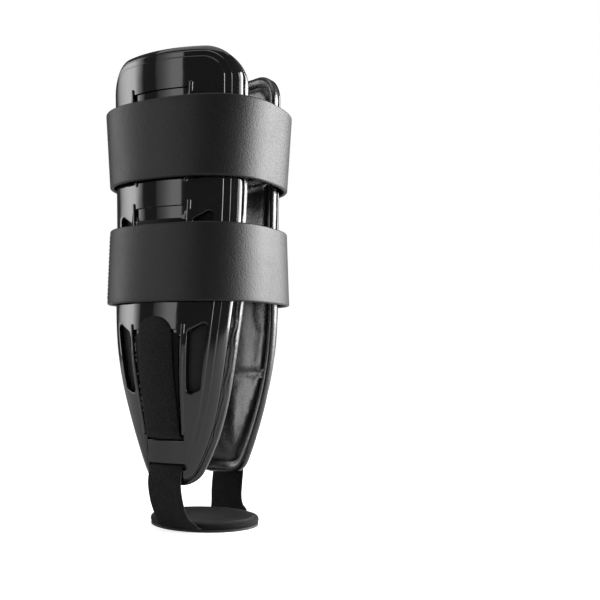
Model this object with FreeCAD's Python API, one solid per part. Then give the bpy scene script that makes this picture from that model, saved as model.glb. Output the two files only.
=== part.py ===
"""Stirrup-type ankle foot orthosis: two curved shells held to the ankle by two wide straps,
and joined under the heel by a pad on a webbing stirrup.

Millimetres, +Z up, +X to the toes, +Y to the outer (lateral) side of a left ankle.
The origin is the centre of the heel pad's underside.
The shells, their linings and the straps are drawn about the axis of the leg, which stands
CUFF_X behind the heel pad's centre, and are moved there when they are written.
"""
import FreeCAD, Part
import math
import os

# ---------------------------------------------------------------- driving dimensions, mm
CUFF_X = -4.5            # leg axis, measured from the heel pad's centre

SHELL_TOP = 305.0
SHELL_TIP = 33.0
SHELL_THICK = 2.2
TOP_CORNER = 20.0        # radius of the shell's upper corners
TIP_CORNER = 13.0        # radius of the shell's lower corners
SIDE_START = 46.0        # the shell's sides: half-width there, how much wider they become,
SIDE_HALF_WIDTH = 22.0   # and the height over which they do so
SIDE_SPREAD = 27.0
SIDE_REACH = 58.0
RIM_WIDTH = 5.0          # plain flange around the raised field
FIELD_RISE = 0.8
RIB_RISE = 1.4
RIB_WIDTH = 2.4
LANE_HALF_WIDTH = 14.5   # flat lane that the heel strap climbs

HOOK_GAP = 2.4           # hook-and-loop pair between shell and lining
BACKING_THICK = 0.8
CUSHION_THICK = 6.0
LINING_OVERHANG = 3.0    # lining beyond the shell's edge

STRAP_THICK = 2.7
STRAP_OVER_CROWN = 4.4   # outer face of a wide strap above the shell's crown
RING_POWER = 2.6         # squareness of the strap's ring
HINGE_X = 50.0           # where each arm of a wide strap starts to bend away
OVERLAP_END = -20.0      # end of the front arm on the far side
OVERLAP_START = 10.0     # end of the rear arm on the far side
HOOK_PAD_THICK = 0.8
TAB_LENGTH = 11.0
TAB_HEIGHT = 30.0
GAP = 0.3                # between pieces that move on each other
GLUE = 0.1               # between hook tape and what it is glued to

WEB_THICK = 1.5
WEB_HALF_WIDTH = 12.5
LOWER_SLOT = (40.4, 44.2)
UPPER_SLOT = (59.2, 62.8)
TONGUE_TOP = 137.4
RUN_CLEARANCE = 0.5      # heel strap behind the bridge
PATCH_THIN = 0.9
PATCH_THICK = 1.3

PAD_HALF_LENGTH = 38.6
PAD_HALF_WIDTH = 30.0
PAD_SOLE = 1.5
PAD_HEIGHT = 6.0

# stirrup of the heel strap: how far it stands off the pad's rim, the height where it turns
# upright, and how it flares to the pad, as (x, z) down its front edge and up its rear edge
SLING_FOOT = 1.2
SLING_KNEE = 30.0
SLING_BEND = 4.0
SLING_BELOW_SLOT_TOP = 1.4
SLING_FRONT = ((7.5, 48.0), (7.5, 26.0), (9.2, 11.0), (16.0, 2.0), (16.0, -2.0))
SLING_REAR = ((-14.5, -2.0), (-14.5, 6.0), (-17.5, 24.0), (-17.5, 48.0))

# wide straps: name, bottom, top, ring half-length at bottom and at top
STRAPS = (
    ("lower", 146.0, 195.0, 57.6, 56.6),
    ("upper", 223.0, 273.0, 57.0, 61.0),
)

# stations down the shell: name, recess bottom and top, rib half-spacing at bottom and top,
# window's bottom edge and top edge (heights at its inner side)
STATIONS = (
    ("heel", 65.0, 129.0, 14.6, 19.0, 87.5, 127.5),
    ("middle", 152.0, 206.0, 18.2, 20.8, 156.0, 197.0),
    ("upper", 222.0, 279.0, 18.6, 22.0, 221.0, 262.0),
)
WINDOW_TOP_WIDTH = 12.8
WINDOW_BOTTOM_WIDTH = 8.8
WINDOW_TOP_SLANT = 7.2   # outer end of the top edge above its inner end
WINDOW_BOTTOM_SLANT = 4.0
WINDOW_FROM_RIB = 2.6
WINDOW_CORNER = 2.5

V = FreeCAD.Vector
MEDIAL, LATERAL = -1, 1
SIDES = (("medial", MEDIAL), ("lateral", LATERAL))


# ---------------------------------------------------------------- the shell's surface
def crown(z):
    """Distance of the shell's outer face from the leg's middle plane, at X = 0."""
    ankle = 4.8 * math.exp(-((z - 122.5) / 50.0) ** 2)
    return 41.0 + 3.8 * math.tanh((z - 74.5) / 33.0) + ankle


def plan_radius(z):
    """Radius of the shell's outer face in plan."""
    return 62.0 + 0.067 * z


def half_width(z):
    """Half of the shell's width, which narrows faster and faster below the ankle."""
    return SIDE_HALF_WIDTH + SIDE_SPREAD * (1.0 - math.exp(-(z - SIDE_START) / SIDE_REACH))


def lean(z):
    """Angle of the shell's side edge from the vertical."""
    return math.atan(SIDE_SPREAD / SIDE_REACH * math.exp(-(z - SIDE_START) / SIDE_REACH))


def side_foot():
    """Height at which the side edge meets the tip's corner, which is tangent to it."""
    z = SHELL_TIP + TIP_CORNER
    for _ in range(8):
        z = SHELL_TIP + TIP_CORNER * (1.0 - math.sin(lean(z)))
    return z


def arc_section(z, low, high, reach):
    """Closed plan section between two offsets from the outer face, out to X = +-reach."""
    radius = plan_radius(z)
    centre_y = radius - crown(z)
    turn = math.asin(min(reach / radius, 0.95))

    def point(offset, angle):
        r = radius + offset
        return V(r * math.sin(angle), centre_y - r * math.cos(angle), z)

    outer = Part.Arc(point(high, -turn), point(high, 0), point(high, turn))
    inner = Part.Arc(point(low, turn), point(low, 0), point(low, -turn))
    right = Part.LineSegment(point(high, turn), point(low, turn))
    left = Part.LineSegment(point(low, -turn), point(high, -turn))
    return Part.Wire([curve.toShape() for curve in (outer, right, inner, left)])


def band(low, high):
    """Curved sheet that follows the shell, between two offsets from its outer face."""
    bottom = SHELL_TIP - 12.0
    top = SHELL_TOP + 8.0
    count = 12
    sections = []
    for i in range(count + 1):
        z = bottom + (top - bottom) * i / count
        sections.append(arc_section(z, low, high, half_width(z) + 9.0))
    return Part.makeLoft(sections, True, False)


# ---------------------------------------------------------------- outlines seen from the side
def through(face):
    """Prism of a side outline, through the medial half."""
    return face.extrude(V(0, -120, 0))


def shell_outline(inset):
    """Shell's outline in the XZ plane, moved inwards by inset."""
    low_z = side_foot()
    high_z = SHELL_TOP - TOP_CORNER
    steps = 10
    right = []
    for i in range(steps + 1):
        z = low_z + (high_z - low_z) * i / steps
        away = 0 if i == steps else lean(z)
        right.append(V(half_width(z) - inset * math.cos(away), 0, z + inset * math.sin(away)))
    left = [V(-p.x, 0, p.z) for p in reversed(right)]
    foot = lean(low_z)

    def side(points, first, last):
        curve = Part.BSplineCurve()
        curve.interpolate(Points=points, InitialTangent=first, FinalTangent=last)
        return curve

    def corner(centre_x, centre_z, radius, start, end):
        at = [V(centre_x + radius * math.cos(a), 0, centre_z + radius * math.sin(a))
              for a in (start, (start + end) / 2, end)]
        return Part.Arc(*at), at[0], at[2]

    quarter = math.pi / 2
    top_x = half_width(high_z) - TOP_CORNER
    tip_x = half_width(low_z) - TIP_CORNER * math.cos(foot)
    tip_z = SHELL_TIP + TIP_CORNER
    top_right, _, a = corner(top_x, high_z, TOP_CORNER - inset, 0, quarter)
    top_left, b, _ = corner(-top_x, high_z, TOP_CORNER - inset, quarter, 2 * quarter)
    tip_left, _, c = corner(-tip_x, tip_z, TIP_CORNER - inset, 2 * quarter + foot, 3 * quarter)
    tip_right, d, _ = corner(tip_x, tip_z, TIP_CORNER - inset, 3 * quarter, 4 * quarter - foot)
    curves = (side(right, V(math.sin(foot), 0, math.cos(foot)), V(0, 0, 1)),
              top_right, Part.LineSegment(a, b), top_left,
              side(left, V(0, 0, -1), V(math.sin(foot), 0, -math.cos(foot))),
              tip_left, Part.LineSegment(c, d), tip_right)
    return Part.Face(Part.Wire([curve.toShape() for curve in curves]))


def rounded(corners, radius):
    """Face in the XZ plane with straight sides and rounded corners."""
    edges = []
    count = len(corners)
    ends = []
    for i in range(count):
        here = V(corners[i][0], 0, corners[i][1])
        before = V(corners[i - 1][0], 0, corners[i - 1][1])
        after = V(corners[(i + 1) % count][0], 0, corners[(i + 1) % count][1])
        back = (before - here).normalize()
        on = (after - here).normalize()
        half_turn = 0.5 * math.acos(max(-1.0, min(1.0, back.dot(on))))
        cut = radius / math.tan(half_turn)
        bisector = (back + on).normalize()
        middle = here + bisector * (radius / math.sin(half_turn) - radius)
        ends.append((here + back * cut, middle, here + on * cut))
    for i in range(count):
        start, middle, end = ends[i]
        edges.append(Part.Arc(start, middle, end).toShape())
        following = ends[(i + 1) % count][0]
        if end.distanceToPoint(following) > 1e-6:
            edges.append(Part.LineSegment(end, following).toShape())
    return Part.Face(Part.Wire(edges))


def box_outline(half_x, low_z, high_z, radius):
    return rounded([(-half_x, low_z), (half_x, low_z), (half_x, high_z), (-half_x, high_z)], radius)


def taper_outline(half_low, half_high, low_z, high_z, radius):
    corners = [(-half_low, low_z), (half_low, low_z), (half_high, high_z), (-half_high, high_z)]
    return rounded(corners, radius)


def rib_spacing(station, z):
    """Half of the distance between a station's two ribs at height z."""
    _, low_z, high_z, half_low, half_high, _, _ = station
    return half_low + (half_high - half_low) * (z - low_z) / (high_z - low_z)


def window_outline(station, hand):
    """Trapezoid opening beside a rib; both ends slant up and outwards."""
    _, _, _, _, _, low_z, high_z = station
    inner_low = rib_spacing(station, low_z) + WINDOW_FROM_RIB
    inner_high = rib_spacing(station, high_z) + WINDOW_FROM_RIB
    corners = [
        (inner_low, low_z),
        (inner_low + WINDOW_BOTTOM_WIDTH, low_z + WINDOW_BOTTOM_SLANT),
        (inner_high + WINDOW_TOP_WIDTH, high_z + WINDOW_TOP_SLANT),
        (inner_high, high_z),
    ]
    return rounded([(hand * x, z) for x, z in corners], WINDOW_CORNER)


def rib_outline(station, hand):
    """Narrow upright rib with round ends that run a little past the recess."""
    _, low_z, high_z, _, _, _, _ = station
    low_z, high_z = low_z - 1.5, high_z + 4.0
    half = RIB_WIDTH / 2
    low_x = hand * rib_spacing(station, low_z)
    high_x = hand * rib_spacing(station, high_z)
    corners = [(low_x - half, low_z), (low_x + half, low_z),
               (high_x + half, high_z), (high_x - half, high_z)]
    return rounded(corners, half * 0.98)


# ---------------------------------------------------------------- shell and lining
def make_shell():
    outline = through(shell_outline(0))
    lane = through(box_outline(LANE_HALF_WIDTH + 1.2, SHELL_TIP - 5, 70, 1.0))
    openings = []
    raised = band(-0.5, FIELD_RISE).common(through(shell_outline(RIM_WIDTH))).cut(lane)
    ribs = []
    for station in STATIONS:
        _, low_z, high_z, half_low, half_high, _, _ = station
        recess = taper_outline(half_low + 0.4, half_high + 0.4, low_z, high_z, 1.0)
        raised = raised.cut(through(recess))
        for hand in (-1, 1):
            openings.append(through(window_outline(station, hand)))
            ribs.append(band(-0.5, RIB_RISE).common(through(rib_outline(station, hand))))
    for low_z, high_z in (LOWER_SLOT, UPPER_SLOT):
        openings.append(through(box_outline(WEB_HALF_WIDTH + 1.3, low_z, high_z, 1.5)))
    shell = band(-SHELL_THICK, 0).common(outline)
    shell = shell.fuse([raised] + ribs).cut(openings)
    return largest_solid(shell)


def largest_solid(shape):
    return max(shape.Solids, key=lambda solid: solid.Volume)


def lining_layer(outer_offset, thickness):
    """Soft layer inside the shell, reaching a little past its edges."""
    sheet = band(outer_offset - thickness, outer_offset)
    return largest_solid(sheet.common(through(shell_outline(-LINING_OVERHANG))))


def make_hook_strips():
    """Two hook-and-loop strips that hold the lining, beside the windows' path."""
    sheet = band(-SHELL_THICK - HOOK_GAP + GLUE, -SHELL_THICK - GLUE)
    strips = [sheet.common(through(box_outline(12.0, low_z, high_z, 4.0)))
              for low_z, high_z in ((86.0, 136.0), (156.0, 206.0), (226.0, 278.0))]
    return Part.makeCompound([largest_solid(strip) for strip in strips])


def make_patch(half_low, half_high, low_z, high_z, thickness):
    sheet = band(0, thickness)
    outline = taper_outline(half_low, half_high, low_z, high_z, 4.0)
    return largest_solid(sheet.common(through(outline)))


# ---------------------------------------------------------------- webbing of the heel strap
def ribbon_face(points, bend, thickness):
    """Thin section about a bent centre line, in the YZ plane."""
    route = [V(0, y, z) for y, z in points]
    edges = []
    start = route[0]
    for i in range(1, len(route) - 1):
        back = (route[i - 1] - route[i]).normalize()
        on = (route[i + 1] - route[i]).normalize()
        half_turn = 0.5 * math.acos(max(-1.0, min(1.0, back.dot(on))))
        cut = bend / math.tan(half_turn)
        middle = route[i] + (back + on).normalize() * (bend / math.sin(half_turn) - bend)
        edges.append(Part.LineSegment(start, route[i] + back * cut).toShape())
        edges.append(Part.Arc(route[i] + back * cut, middle, route[i] + on * cut).toShape())
        start = route[i] + on * cut
    edges.append(Part.LineSegment(start, route[-1]).toShape())
    centre = Part.Wire(edges)
    one = centre.makeOffset2D(thickness / 2, 1, False, True)
    other = centre.makeOffset2D(-thickness / 2, 1, False, True)
    ends = []
    for index in (0, -1):
        ends.append(Part.LineSegment(one.OrderedVertexes[index].Point,
                                     other.OrderedVertexes[index].Point).toShape())
    sorted_edges = Part.__sortEdges__(one.Edges + other.Edges + ends)
    return Part.Face(Part.Wire(sorted_edges))


def curved_ribbon(points, bend, z_mid):
    """Webbing of the heel strap's width, bowed in plan like the shell beside it."""
    radius = plan_radius(z_mid)
    turn = math.degrees(math.asin(WEB_HALF_WIDTH / radius))
    face = ribbon_face(points, bend, WEB_THICK)
    axis_point = V(0, radius - crown(z_mid), 0)
    face.rotate(axis_point, V(0, 0, 1), -turn)
    return face.revolve(axis_point, V(0, 0, 1), 2 * turn)


def make_strap_run():
    """Heel strap behind the bridge, from just inside the lower slot to the upper one."""
    low_z = sum(LOWER_SLOT) / 2
    high_z = sum(UPPER_SLOT) / 2
    behind = SHELL_THICK + RUN_CLEARANCE + WEB_THICK / 2
    route = [
        (-crown(low_z) + 0.2, low_z),
        (-crown(low_z) + behind, low_z),
        (-crown(high_z) + behind, high_z),
        (-crown(high_z) + 0.2, high_z),
    ]
    return curved_ribbon(route, WEB_THICK / 2 + 0.05, (low_z + high_z) / 2)


def tongue_offset():
    return PATCH_THIN + GAP + WEB_THICK / 2


def make_tongue():
    """Free end of the heel strap, lying up the lowest recess, with a round end."""
    start_z = UPPER_SLOT[1] + 1.2
    sheet = band(tongue_offset() - WEB_THICK / 2, tongue_offset() + WEB_THICK / 2)
    round_z = TONGUE_TOP - WEB_HALF_WIDTH
    right, left = WEB_HALF_WIDTH, -WEB_HALF_WIDTH
    bottom = start_z
    edges = [
        Part.LineSegment(V(left, 0, bottom), V(right, 0, bottom)).toShape(),
        Part.LineSegment(V(right, 0, bottom), V(right, 0, round_z)).toShape(),
        Part.Arc(V(right, 0, round_z), V(0, 0, TONGUE_TOP), V(left, 0, round_z)).toShape(),
        Part.LineSegment(V(left, 0, round_z), V(left, 0, bottom)).toShape(),
    ]
    return largest_solid(sheet.common(through(Part.Face(Part.Wire(edges)))))


def make_sling():
    """Stirrup of webbing under the heel, up to the lower slot of each shell."""
    centre_z = PAD_SOLE + WEB_THICK / 2
    plane = crown(LOWER_SLOT[0]) + RUN_CLEARANCE + WEB_THICK / 2
    top = LOWER_SLOT[1] - SLING_BELOW_SLOT_TOP
    half = [(PAD_HALF_WIDTH + SLING_FOOT, centre_z), (plane, SLING_KNEE), (plane, top)]
    route = [(-y, z) for y, z in reversed(half)] + half
    reach = 2 * PAD_HALF_WIDTH
    face = ribbon_face(route, SLING_BEND, WEB_THICK)
    face.translate(V(-reach, 0, 0))
    ribbon = face.extrude(V(2 * reach, 0, 0))
    points = [V(x, -reach, z) for x, z in SLING_FRONT + SLING_REAR]
    outline = Part.Face(Part.makePolygon(points + points[:1]))
    return largest_solid(ribbon.common(outline.extrude(V(0, 2 * reach, 0))))


# ---------------------------------------------------------------- heel pad
def pad_disc(low_z, high_z, inset=0.0):
    ellipse = Part.Ellipse(V(0, 0, low_z), PAD_HALF_LENGTH - inset, PAD_HALF_WIDTH - inset)
    return Part.Face(Part.Wire(ellipse.toShape())).extrude(V(0, 0, high_z - low_z))


def make_pad_foam(sling):
    disc = pad_disc(PAD_SOLE, PAD_HEIGHT)
    rim = max(disc.Edges, key=lambda edge: edge.CenterOfMass.z)
    return largest_solid(disc.makeFillet(1.6, [rim]).cut(sling))


# ---------------------------------------------------------------- wide straps
def ring_point(strap, angle, z, offset=0.0, swell=0.0):
    """Point on a strap's ring; swell widens the ring on the far side, offset goes inwards."""
    _, low_z, high_z, long_low, long_high = strap
    share = (z - low_z) / (high_z - low_z)
    half_x = long_low + (long_high - long_low) * share
    half_y = crown(low_z) + (crown(high_z) - crown(low_z)) * share + STRAP_OVER_CROWN
    if math.sin(angle) > 0:
        half_y += swell

    def at(turn):
        c, s = math.cos(turn), math.sin(turn)
        return V(half_x * math.copysign(abs(c) ** (2 / RING_POWER), c),
                 half_y * math.copysign(abs(s) ** (2 / RING_POWER), s), z)

    if not offset:
        return at(angle)
    ahead = at(angle + 0.004) - at(angle - 0.004)
    inward = V(-ahead.y, ahead.x, 0).normalize()
    return at(angle) + inward * offset


def angle_at(strap, x, side):
    """Ring angle, from -180 to 180 degrees, where the strap's mid-height passes X = x."""
    half_x = (strap[3] + strap[4]) / 2
    share = min(abs(x) / half_x, 1.0) ** (RING_POWER / 2)
    return side * math.acos(math.copysign(share, x))


def strap_piece(strap, start, end, swell=0.0, outer=0.0, inner=STRAP_THICK, margin=0.0):
    """Stretch of a wide strap between two ring angles."""
    steps = max(6, int(abs(end - start) / math.radians(9.0)))
    angles = [start + (end - start) * i / steps for i in range(steps + 1)]

    def section(z):
        faces = []
        for offset in (outer, inner):
            points = [ring_point(strap, a, z, offset, swell) for a in angles]
            curve = Part.BSplineCurve()
            curve.interpolate(points)
            faces.append((curve.toShape(), points))
        (outside, out_points), (inside, in_points) = faces
        first = Part.LineSegment(in_points[0], out_points[0]).toShape()
        last = Part.LineSegment(out_points[-1], in_points[-1]).toShape()
        return Part.Wire([outside, last, inside, first])

    low_z, high_z = strap[1] + margin, strap[2] - margin
    return Part.makeLoft([section(low_z), section(high_z)], True, True)


def strap_angles(strap):
    """Ring angles that divide the strap, with the running gap as an angle."""
    reach = (strap[3] + strap[4]) / 2
    gap = 1.6 * GAP / reach
    front = angle_at(strap, HINGE_X, MEDIAL)
    rear = angle_at(strap, -HINGE_X, MEDIAL)
    return front, rear, gap


def arm_swell():
    return STRAP_THICK + GLUE + HOOK_PAD_THICK + 1.4 * GAP


def make_strap(strap):
    """All pieces of one wide strap, as a dictionary of solids."""
    name = strap[0]
    front, rear, gap = strap_angles(strap)
    front_end = angle_at(strap, OVERLAP_END, LATERAL)
    tab_end = angle_at(strap, OVERLAP_END - TAB_LENGTH, LATERAL)
    rear_end = angle_at(strap, OVERLAP_START, LATERAL) - 2 * math.pi
    centre_z = (strap[1] + strap[2]) / 2
    tab = strap_piece(strap, front_end + gap, tab_end, arm_swell())
    tab_outline = rounded([(OVERLAP_END + 5, centre_z - TAB_HEIGHT / 2),
                           (OVERLAP_END + 5, centre_z + TAB_HEIGHT / 2),
                           (OVERLAP_END - TAB_LENGTH, centre_z + TAB_HEIGHT / 2),
                           (OVERLAP_END - TAB_LENGTH, centre_z - TAB_HEIGHT / 2)], 7.0)
    tab = tab.common(tab_outline.extrude(V(0, 120, 0)))
    pad_start = angle_at(strap, OVERLAP_START - 4, LATERAL)
    pad_end = angle_at(strap, OVERLAP_END + 2, LATERAL)
    return {
        name + "_strap_centre": strap_piece(strap, rear + gap / 2, front - gap / 2),
        name + "_strap_front_arm": strap_piece(strap, front + gap / 2, front_end, arm_swell()),
        name + "_strap_rear_arm": strap_piece(strap, rear - gap / 2, rear_end),
        name + "_strap_hook_pad": strap_piece(strap, pad_start, pad_end, arm_swell(),
                                              STRAP_THICK + GLUE,
                                              STRAP_THICK + GLUE + HOOK_PAD_THICK, 3.0),
        name + "_strap_tab": largest_solid(tab),
    }


# ---------------------------------------------------------------- the whole orthosis
def to_side(shape, side):
    """Medial pieces as drawn; lateral ones mirrored in the XZ plane."""
    return shape if side == MEDIAL else shape.mirror(V(0, 0, 0), V(0, 1, 0))


def cuff_pieces():
    """One side's shell, lining, patches and heel webbing, drawn on the medial side."""
    backing_at = -SHELL_THICK - HOOK_GAP
    heel, middle, upper = STATIONS
    return {
        "shell": make_shell(),
        "pad_hooks": make_hook_strips(),
        "pad_backing": lining_layer(backing_at, BACKING_THICK),
        "pad_cushion": lining_layer(backing_at - BACKING_THICK, CUSHION_THICK),
        "heel_hook_patch": make_patch(heel[3] - 2.2, heel[4] - 2.2, heel[1] + 3, heel[2] - 2, PATCH_THIN),
        "lower_hook_patch": make_patch(middle[3] - 2, middle[4] - 2, middle[1] + 3, middle[2] - 8,
                                       PATCH_THICK),
        "upper_hook_patch": make_patch(upper[3] - 2, upper[4] - 2, upper[1] + 4, upper[2] - 8,
                                       PATCH_THICK),
        "heel_strap_run": make_strap_run(),
        "heel_tongue": make_tongue(),
    }


def build():
    shapes = {}
    for piece, shape in cuff_pieces().items():
        for side_name, side in SIDES:
            shapes[side_name + "_" + piece] = to_side(shape, side)
    for strap in STRAPS:
        shapes.update(make_strap(strap))
    for shape in shapes.values():
        shape.translate(V(CUFF_X, 0, 0))
    sling = make_sling()
    shapes["heel_strap_sling"] = sling
    shapes["heel_pad_foam"] = make_pad_foam(sling)
    shapes["heel_pad_sole"] = pad_disc(0, PAD_SOLE, 0.6)
    return shapes


def main():
    os.makedirs("parts", exist_ok=True)
    for name, shape in build().items():
        box = shape.BoundBox
        print("%-28s valid %s solids %d volume %.1f  x %.1f %.1f  y %.1f %.1f  z %.1f %.1f" % (
            name, shape.isValid(), len(shape.Solids), shape.Volume,
            box.XMin, box.XMax, box.YMin, box.YMax, box.ZMin, box.ZMax))
        shape.exportStep("parts/%s.step" % name)
    for strap in STRAPS:
        front, rear, _ = strap_angles(strap)
        for label, angle in (("front", front), ("rear", rear)):
            ends = [ring_point(strap, angle, z) for z in strap[1:3]]
            print(strap[0], label, "hinge line", [tuple(round(c, 3) for c in e) for e in ends])
        end = angle_at(strap, OVERLAP_END, LATERAL)
        ends = [ring_point(strap, end, z, 0, arm_swell()) for z in strap[1:3]]
        print(strap[0], "tab hinge line", [tuple(round(c, 3) for c in e) for e in ends])


main()
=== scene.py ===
# %% [markdown]
# # A stirrup ankle orthosis
# Two curved plastic shells stand on either side of the ankle. Each has a soft lining inside.
# Two wide straps close round both shells, and a narrow webbing runs from shell to shell under
# an oval heel pad. The CAD model already holds every size, joint and clearance, so this script
# loads it first and then gives each piece its real surface.

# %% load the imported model
import math

import bmesh
import bpy
import numpy as np
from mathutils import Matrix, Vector
from mathutils.geometry import delaunay_2d_cdt


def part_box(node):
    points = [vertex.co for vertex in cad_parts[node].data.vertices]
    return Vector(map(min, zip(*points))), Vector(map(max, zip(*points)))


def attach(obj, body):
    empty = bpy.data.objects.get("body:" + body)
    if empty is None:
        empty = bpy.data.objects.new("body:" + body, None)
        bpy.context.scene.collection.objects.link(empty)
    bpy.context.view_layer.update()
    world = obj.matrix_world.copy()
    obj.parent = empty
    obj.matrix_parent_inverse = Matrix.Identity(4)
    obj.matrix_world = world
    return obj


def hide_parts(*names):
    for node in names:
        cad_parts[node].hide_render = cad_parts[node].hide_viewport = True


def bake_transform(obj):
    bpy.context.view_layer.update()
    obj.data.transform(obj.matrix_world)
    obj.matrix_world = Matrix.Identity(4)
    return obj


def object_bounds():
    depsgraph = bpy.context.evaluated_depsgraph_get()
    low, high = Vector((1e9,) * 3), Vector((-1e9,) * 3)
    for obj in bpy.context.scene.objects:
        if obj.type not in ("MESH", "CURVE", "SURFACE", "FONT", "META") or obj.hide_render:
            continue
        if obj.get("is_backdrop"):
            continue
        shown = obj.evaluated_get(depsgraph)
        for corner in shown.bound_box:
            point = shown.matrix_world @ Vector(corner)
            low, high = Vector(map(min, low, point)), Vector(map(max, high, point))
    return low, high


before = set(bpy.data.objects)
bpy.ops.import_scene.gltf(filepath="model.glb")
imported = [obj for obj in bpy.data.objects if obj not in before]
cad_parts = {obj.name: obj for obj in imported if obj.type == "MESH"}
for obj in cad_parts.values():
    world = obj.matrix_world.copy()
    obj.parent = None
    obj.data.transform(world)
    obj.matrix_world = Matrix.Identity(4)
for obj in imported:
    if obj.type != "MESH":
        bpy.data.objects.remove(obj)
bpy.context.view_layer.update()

# %% [markdown]
# ## Places that come from the CAD model
# Every length here is in metres. The height of the shell, the axis of the leg and the bands that
# the straps cover are read from the boxes of the CAD nodes, so the pieces below always land
# where the CAD pieces are.

# %% places and driving sizes
MM = 0.001
SHELL_LOW, SHELL_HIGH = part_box("medial_shell")
SHELL_TIP, SHELL_TOP = SHELL_LOW.z, SHELL_HIGH.z
LEG_X = (SHELL_LOW.x + SHELL_HIGH.x) / 2
SHELL_THICK = 2.2 * MM
TOP_CORNER = 20 * MM
TIP_CORNER = 13 * MM
PAD_LOW, PAD_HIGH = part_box("heel_pad_foam")
print("shell", round(SHELL_TIP, 4), "to", round(SHELL_TOP, 4), "about x =", round(LEG_X, 4))

# %% [markdown]
# ## The shell's form as three formulas
# Seen from the side the shell tapers to a round tip, and seen from above it is an arc. Writing
# the crown line, the arc's radius and the half-width as functions of height keeps the surface
# perfectly smooth, which a glossy black plastic needs: every dent would show in its reflections.

# %% formulas of the shell's surface, in metres
def crown(z):
    ankle = 4.8 * np.exp(-((z / MM - 122.5) / 50.0) ** 2)
    return MM * (41.0 + 3.8 * np.tanh((z / MM - 74.5) / 33.0) + ankle)


def plan_radius(z):
    return MM * 62.0 + 0.067 * z


def half_width(z):
    return MM * (22.0 + 27.0 * (1.0 - np.exp(-(z / MM - 46.0) / 58.0)))


def lean(z):
    return np.arctan(27.0 / 58.0 * np.exp(-(z / MM - 46.0) / 58.0))


def on_shell(x, z, offset):
    """Medial point at (x, z) from the leg's axis, offset outwards from the shell's face."""
    reach = plan_radius(z) + offset
    y = plan_radius(z) - crown(z) - np.sqrt(np.maximum(reach ** 2 - x ** 2, 1e-9))
    return np.stack([x + LEG_X, y, z], axis=-1)


# %% [markdown]
# ## Making a mesh object
# All pieces are made by one helper. It takes corners and faces, joins points that coincide,
# turns the faces outwards and smooths the shading except across sharp folds.

# %% helper for mesh pieces
def add_mesh(name, points, faces, smooth_angle=40.0, merge=0.0):
    mesh = bpy.data.meshes.new(name)
    mesh.from_pydata([tuple(p) for p in points], [], [tuple(f) for f in faces])
    build = bmesh.new()
    build.from_mesh(mesh)
    if merge:
        bmesh.ops.remove_doubles(build, verts=build.verts, dist=merge)
    bmesh.ops.recalc_face_normals(build, faces=build.faces)
    for edge in build.edges:
        if len(edge.link_faces) == 2:
            edge.smooth = edge.calc_face_angle(0.0) < math.radians(smooth_angle)
    build.to_mesh(mesh)
    build.free()
    mesh.polygons.foreach_set("use_smooth", [True] * len(mesh.polygons))
    mesh.update()
    piece = bpy.data.objects.new(name, mesh)
    bpy.context.scene.collection.objects.link(piece)
    return piece


# %% [markdown]
# ## Outlines drawn from the side
# The shell is cut from its curved sheet along outlines: its own edge, the windows, the slots of
# the heel strap, the recesses and the ribs. Each outline can be drawn again at any distance from
# the edge, which gives the rings of points that a moulded step or a rounded edge needs.

# %% outline helpers
def arc_points(centre, radius, start, end, count):
    turn = np.linspace(start, end, count, endpoint=False)
    return np.stack([centre[0] + radius * np.cos(turn), centre[1] + radius * np.sin(turn)], axis=1)


def shell_foot():
    """Height where the shell's side edge runs into its round tip."""
    z = SHELL_TIP + TIP_CORNER
    for _ in range(8):
        z = SHELL_TIP + TIP_CORNER * (1 - math.sin(lean(z)))
    return z


def shell_edge(inset, step=1.1 * MM):
    """Closed ring of (x, z) points, inset from the shell's edge."""
    low = shell_foot()
    high = SHELL_TOP - TOP_CORNER
    foot = float(lean(low))
    z = np.linspace(low, high, int((high - low) / step), endpoint=False)
    away = lean(z)
    right = np.stack([half_width(z) - inset * np.cos(away), z + inset * np.sin(away)], axis=1)
    quarter = math.pi / 2
    top_x = float(half_width(high)) - TOP_CORNER
    tip_x = float(half_width(low)) - TIP_CORNER * math.cos(foot)
    tip_z = SHELL_TIP + TIP_CORNER
    corner = arc_points((top_x, high), TOP_CORNER - inset, float(lean(high)), quarter, 28)
    top = np.stack([np.linspace(top_x, 0, int(top_x / step) + 1, endpoint=False),
                    np.full(int(top_x / step) + 1, SHELL_TOP - inset)], axis=1)
    tip = arc_points((tip_x, tip_z), TIP_CORNER - inset, -quarter, -foot, 22)
    tip_flat = np.stack([np.linspace(0, tip_x, int(tip_x / step) + 1, endpoint=False),
                         np.full(int(tip_x / step) + 1, SHELL_TIP + inset)], axis=1)
    half = np.concatenate([tip_flat, tip, right, corner, top])
    middle_top = np.array([[0.0, SHELL_TOP - inset]])
    mirrored = half[1:][::-1] * np.array([-1.0, 1.0])
    return np.concatenate([half, middle_top, mirrored])


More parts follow.
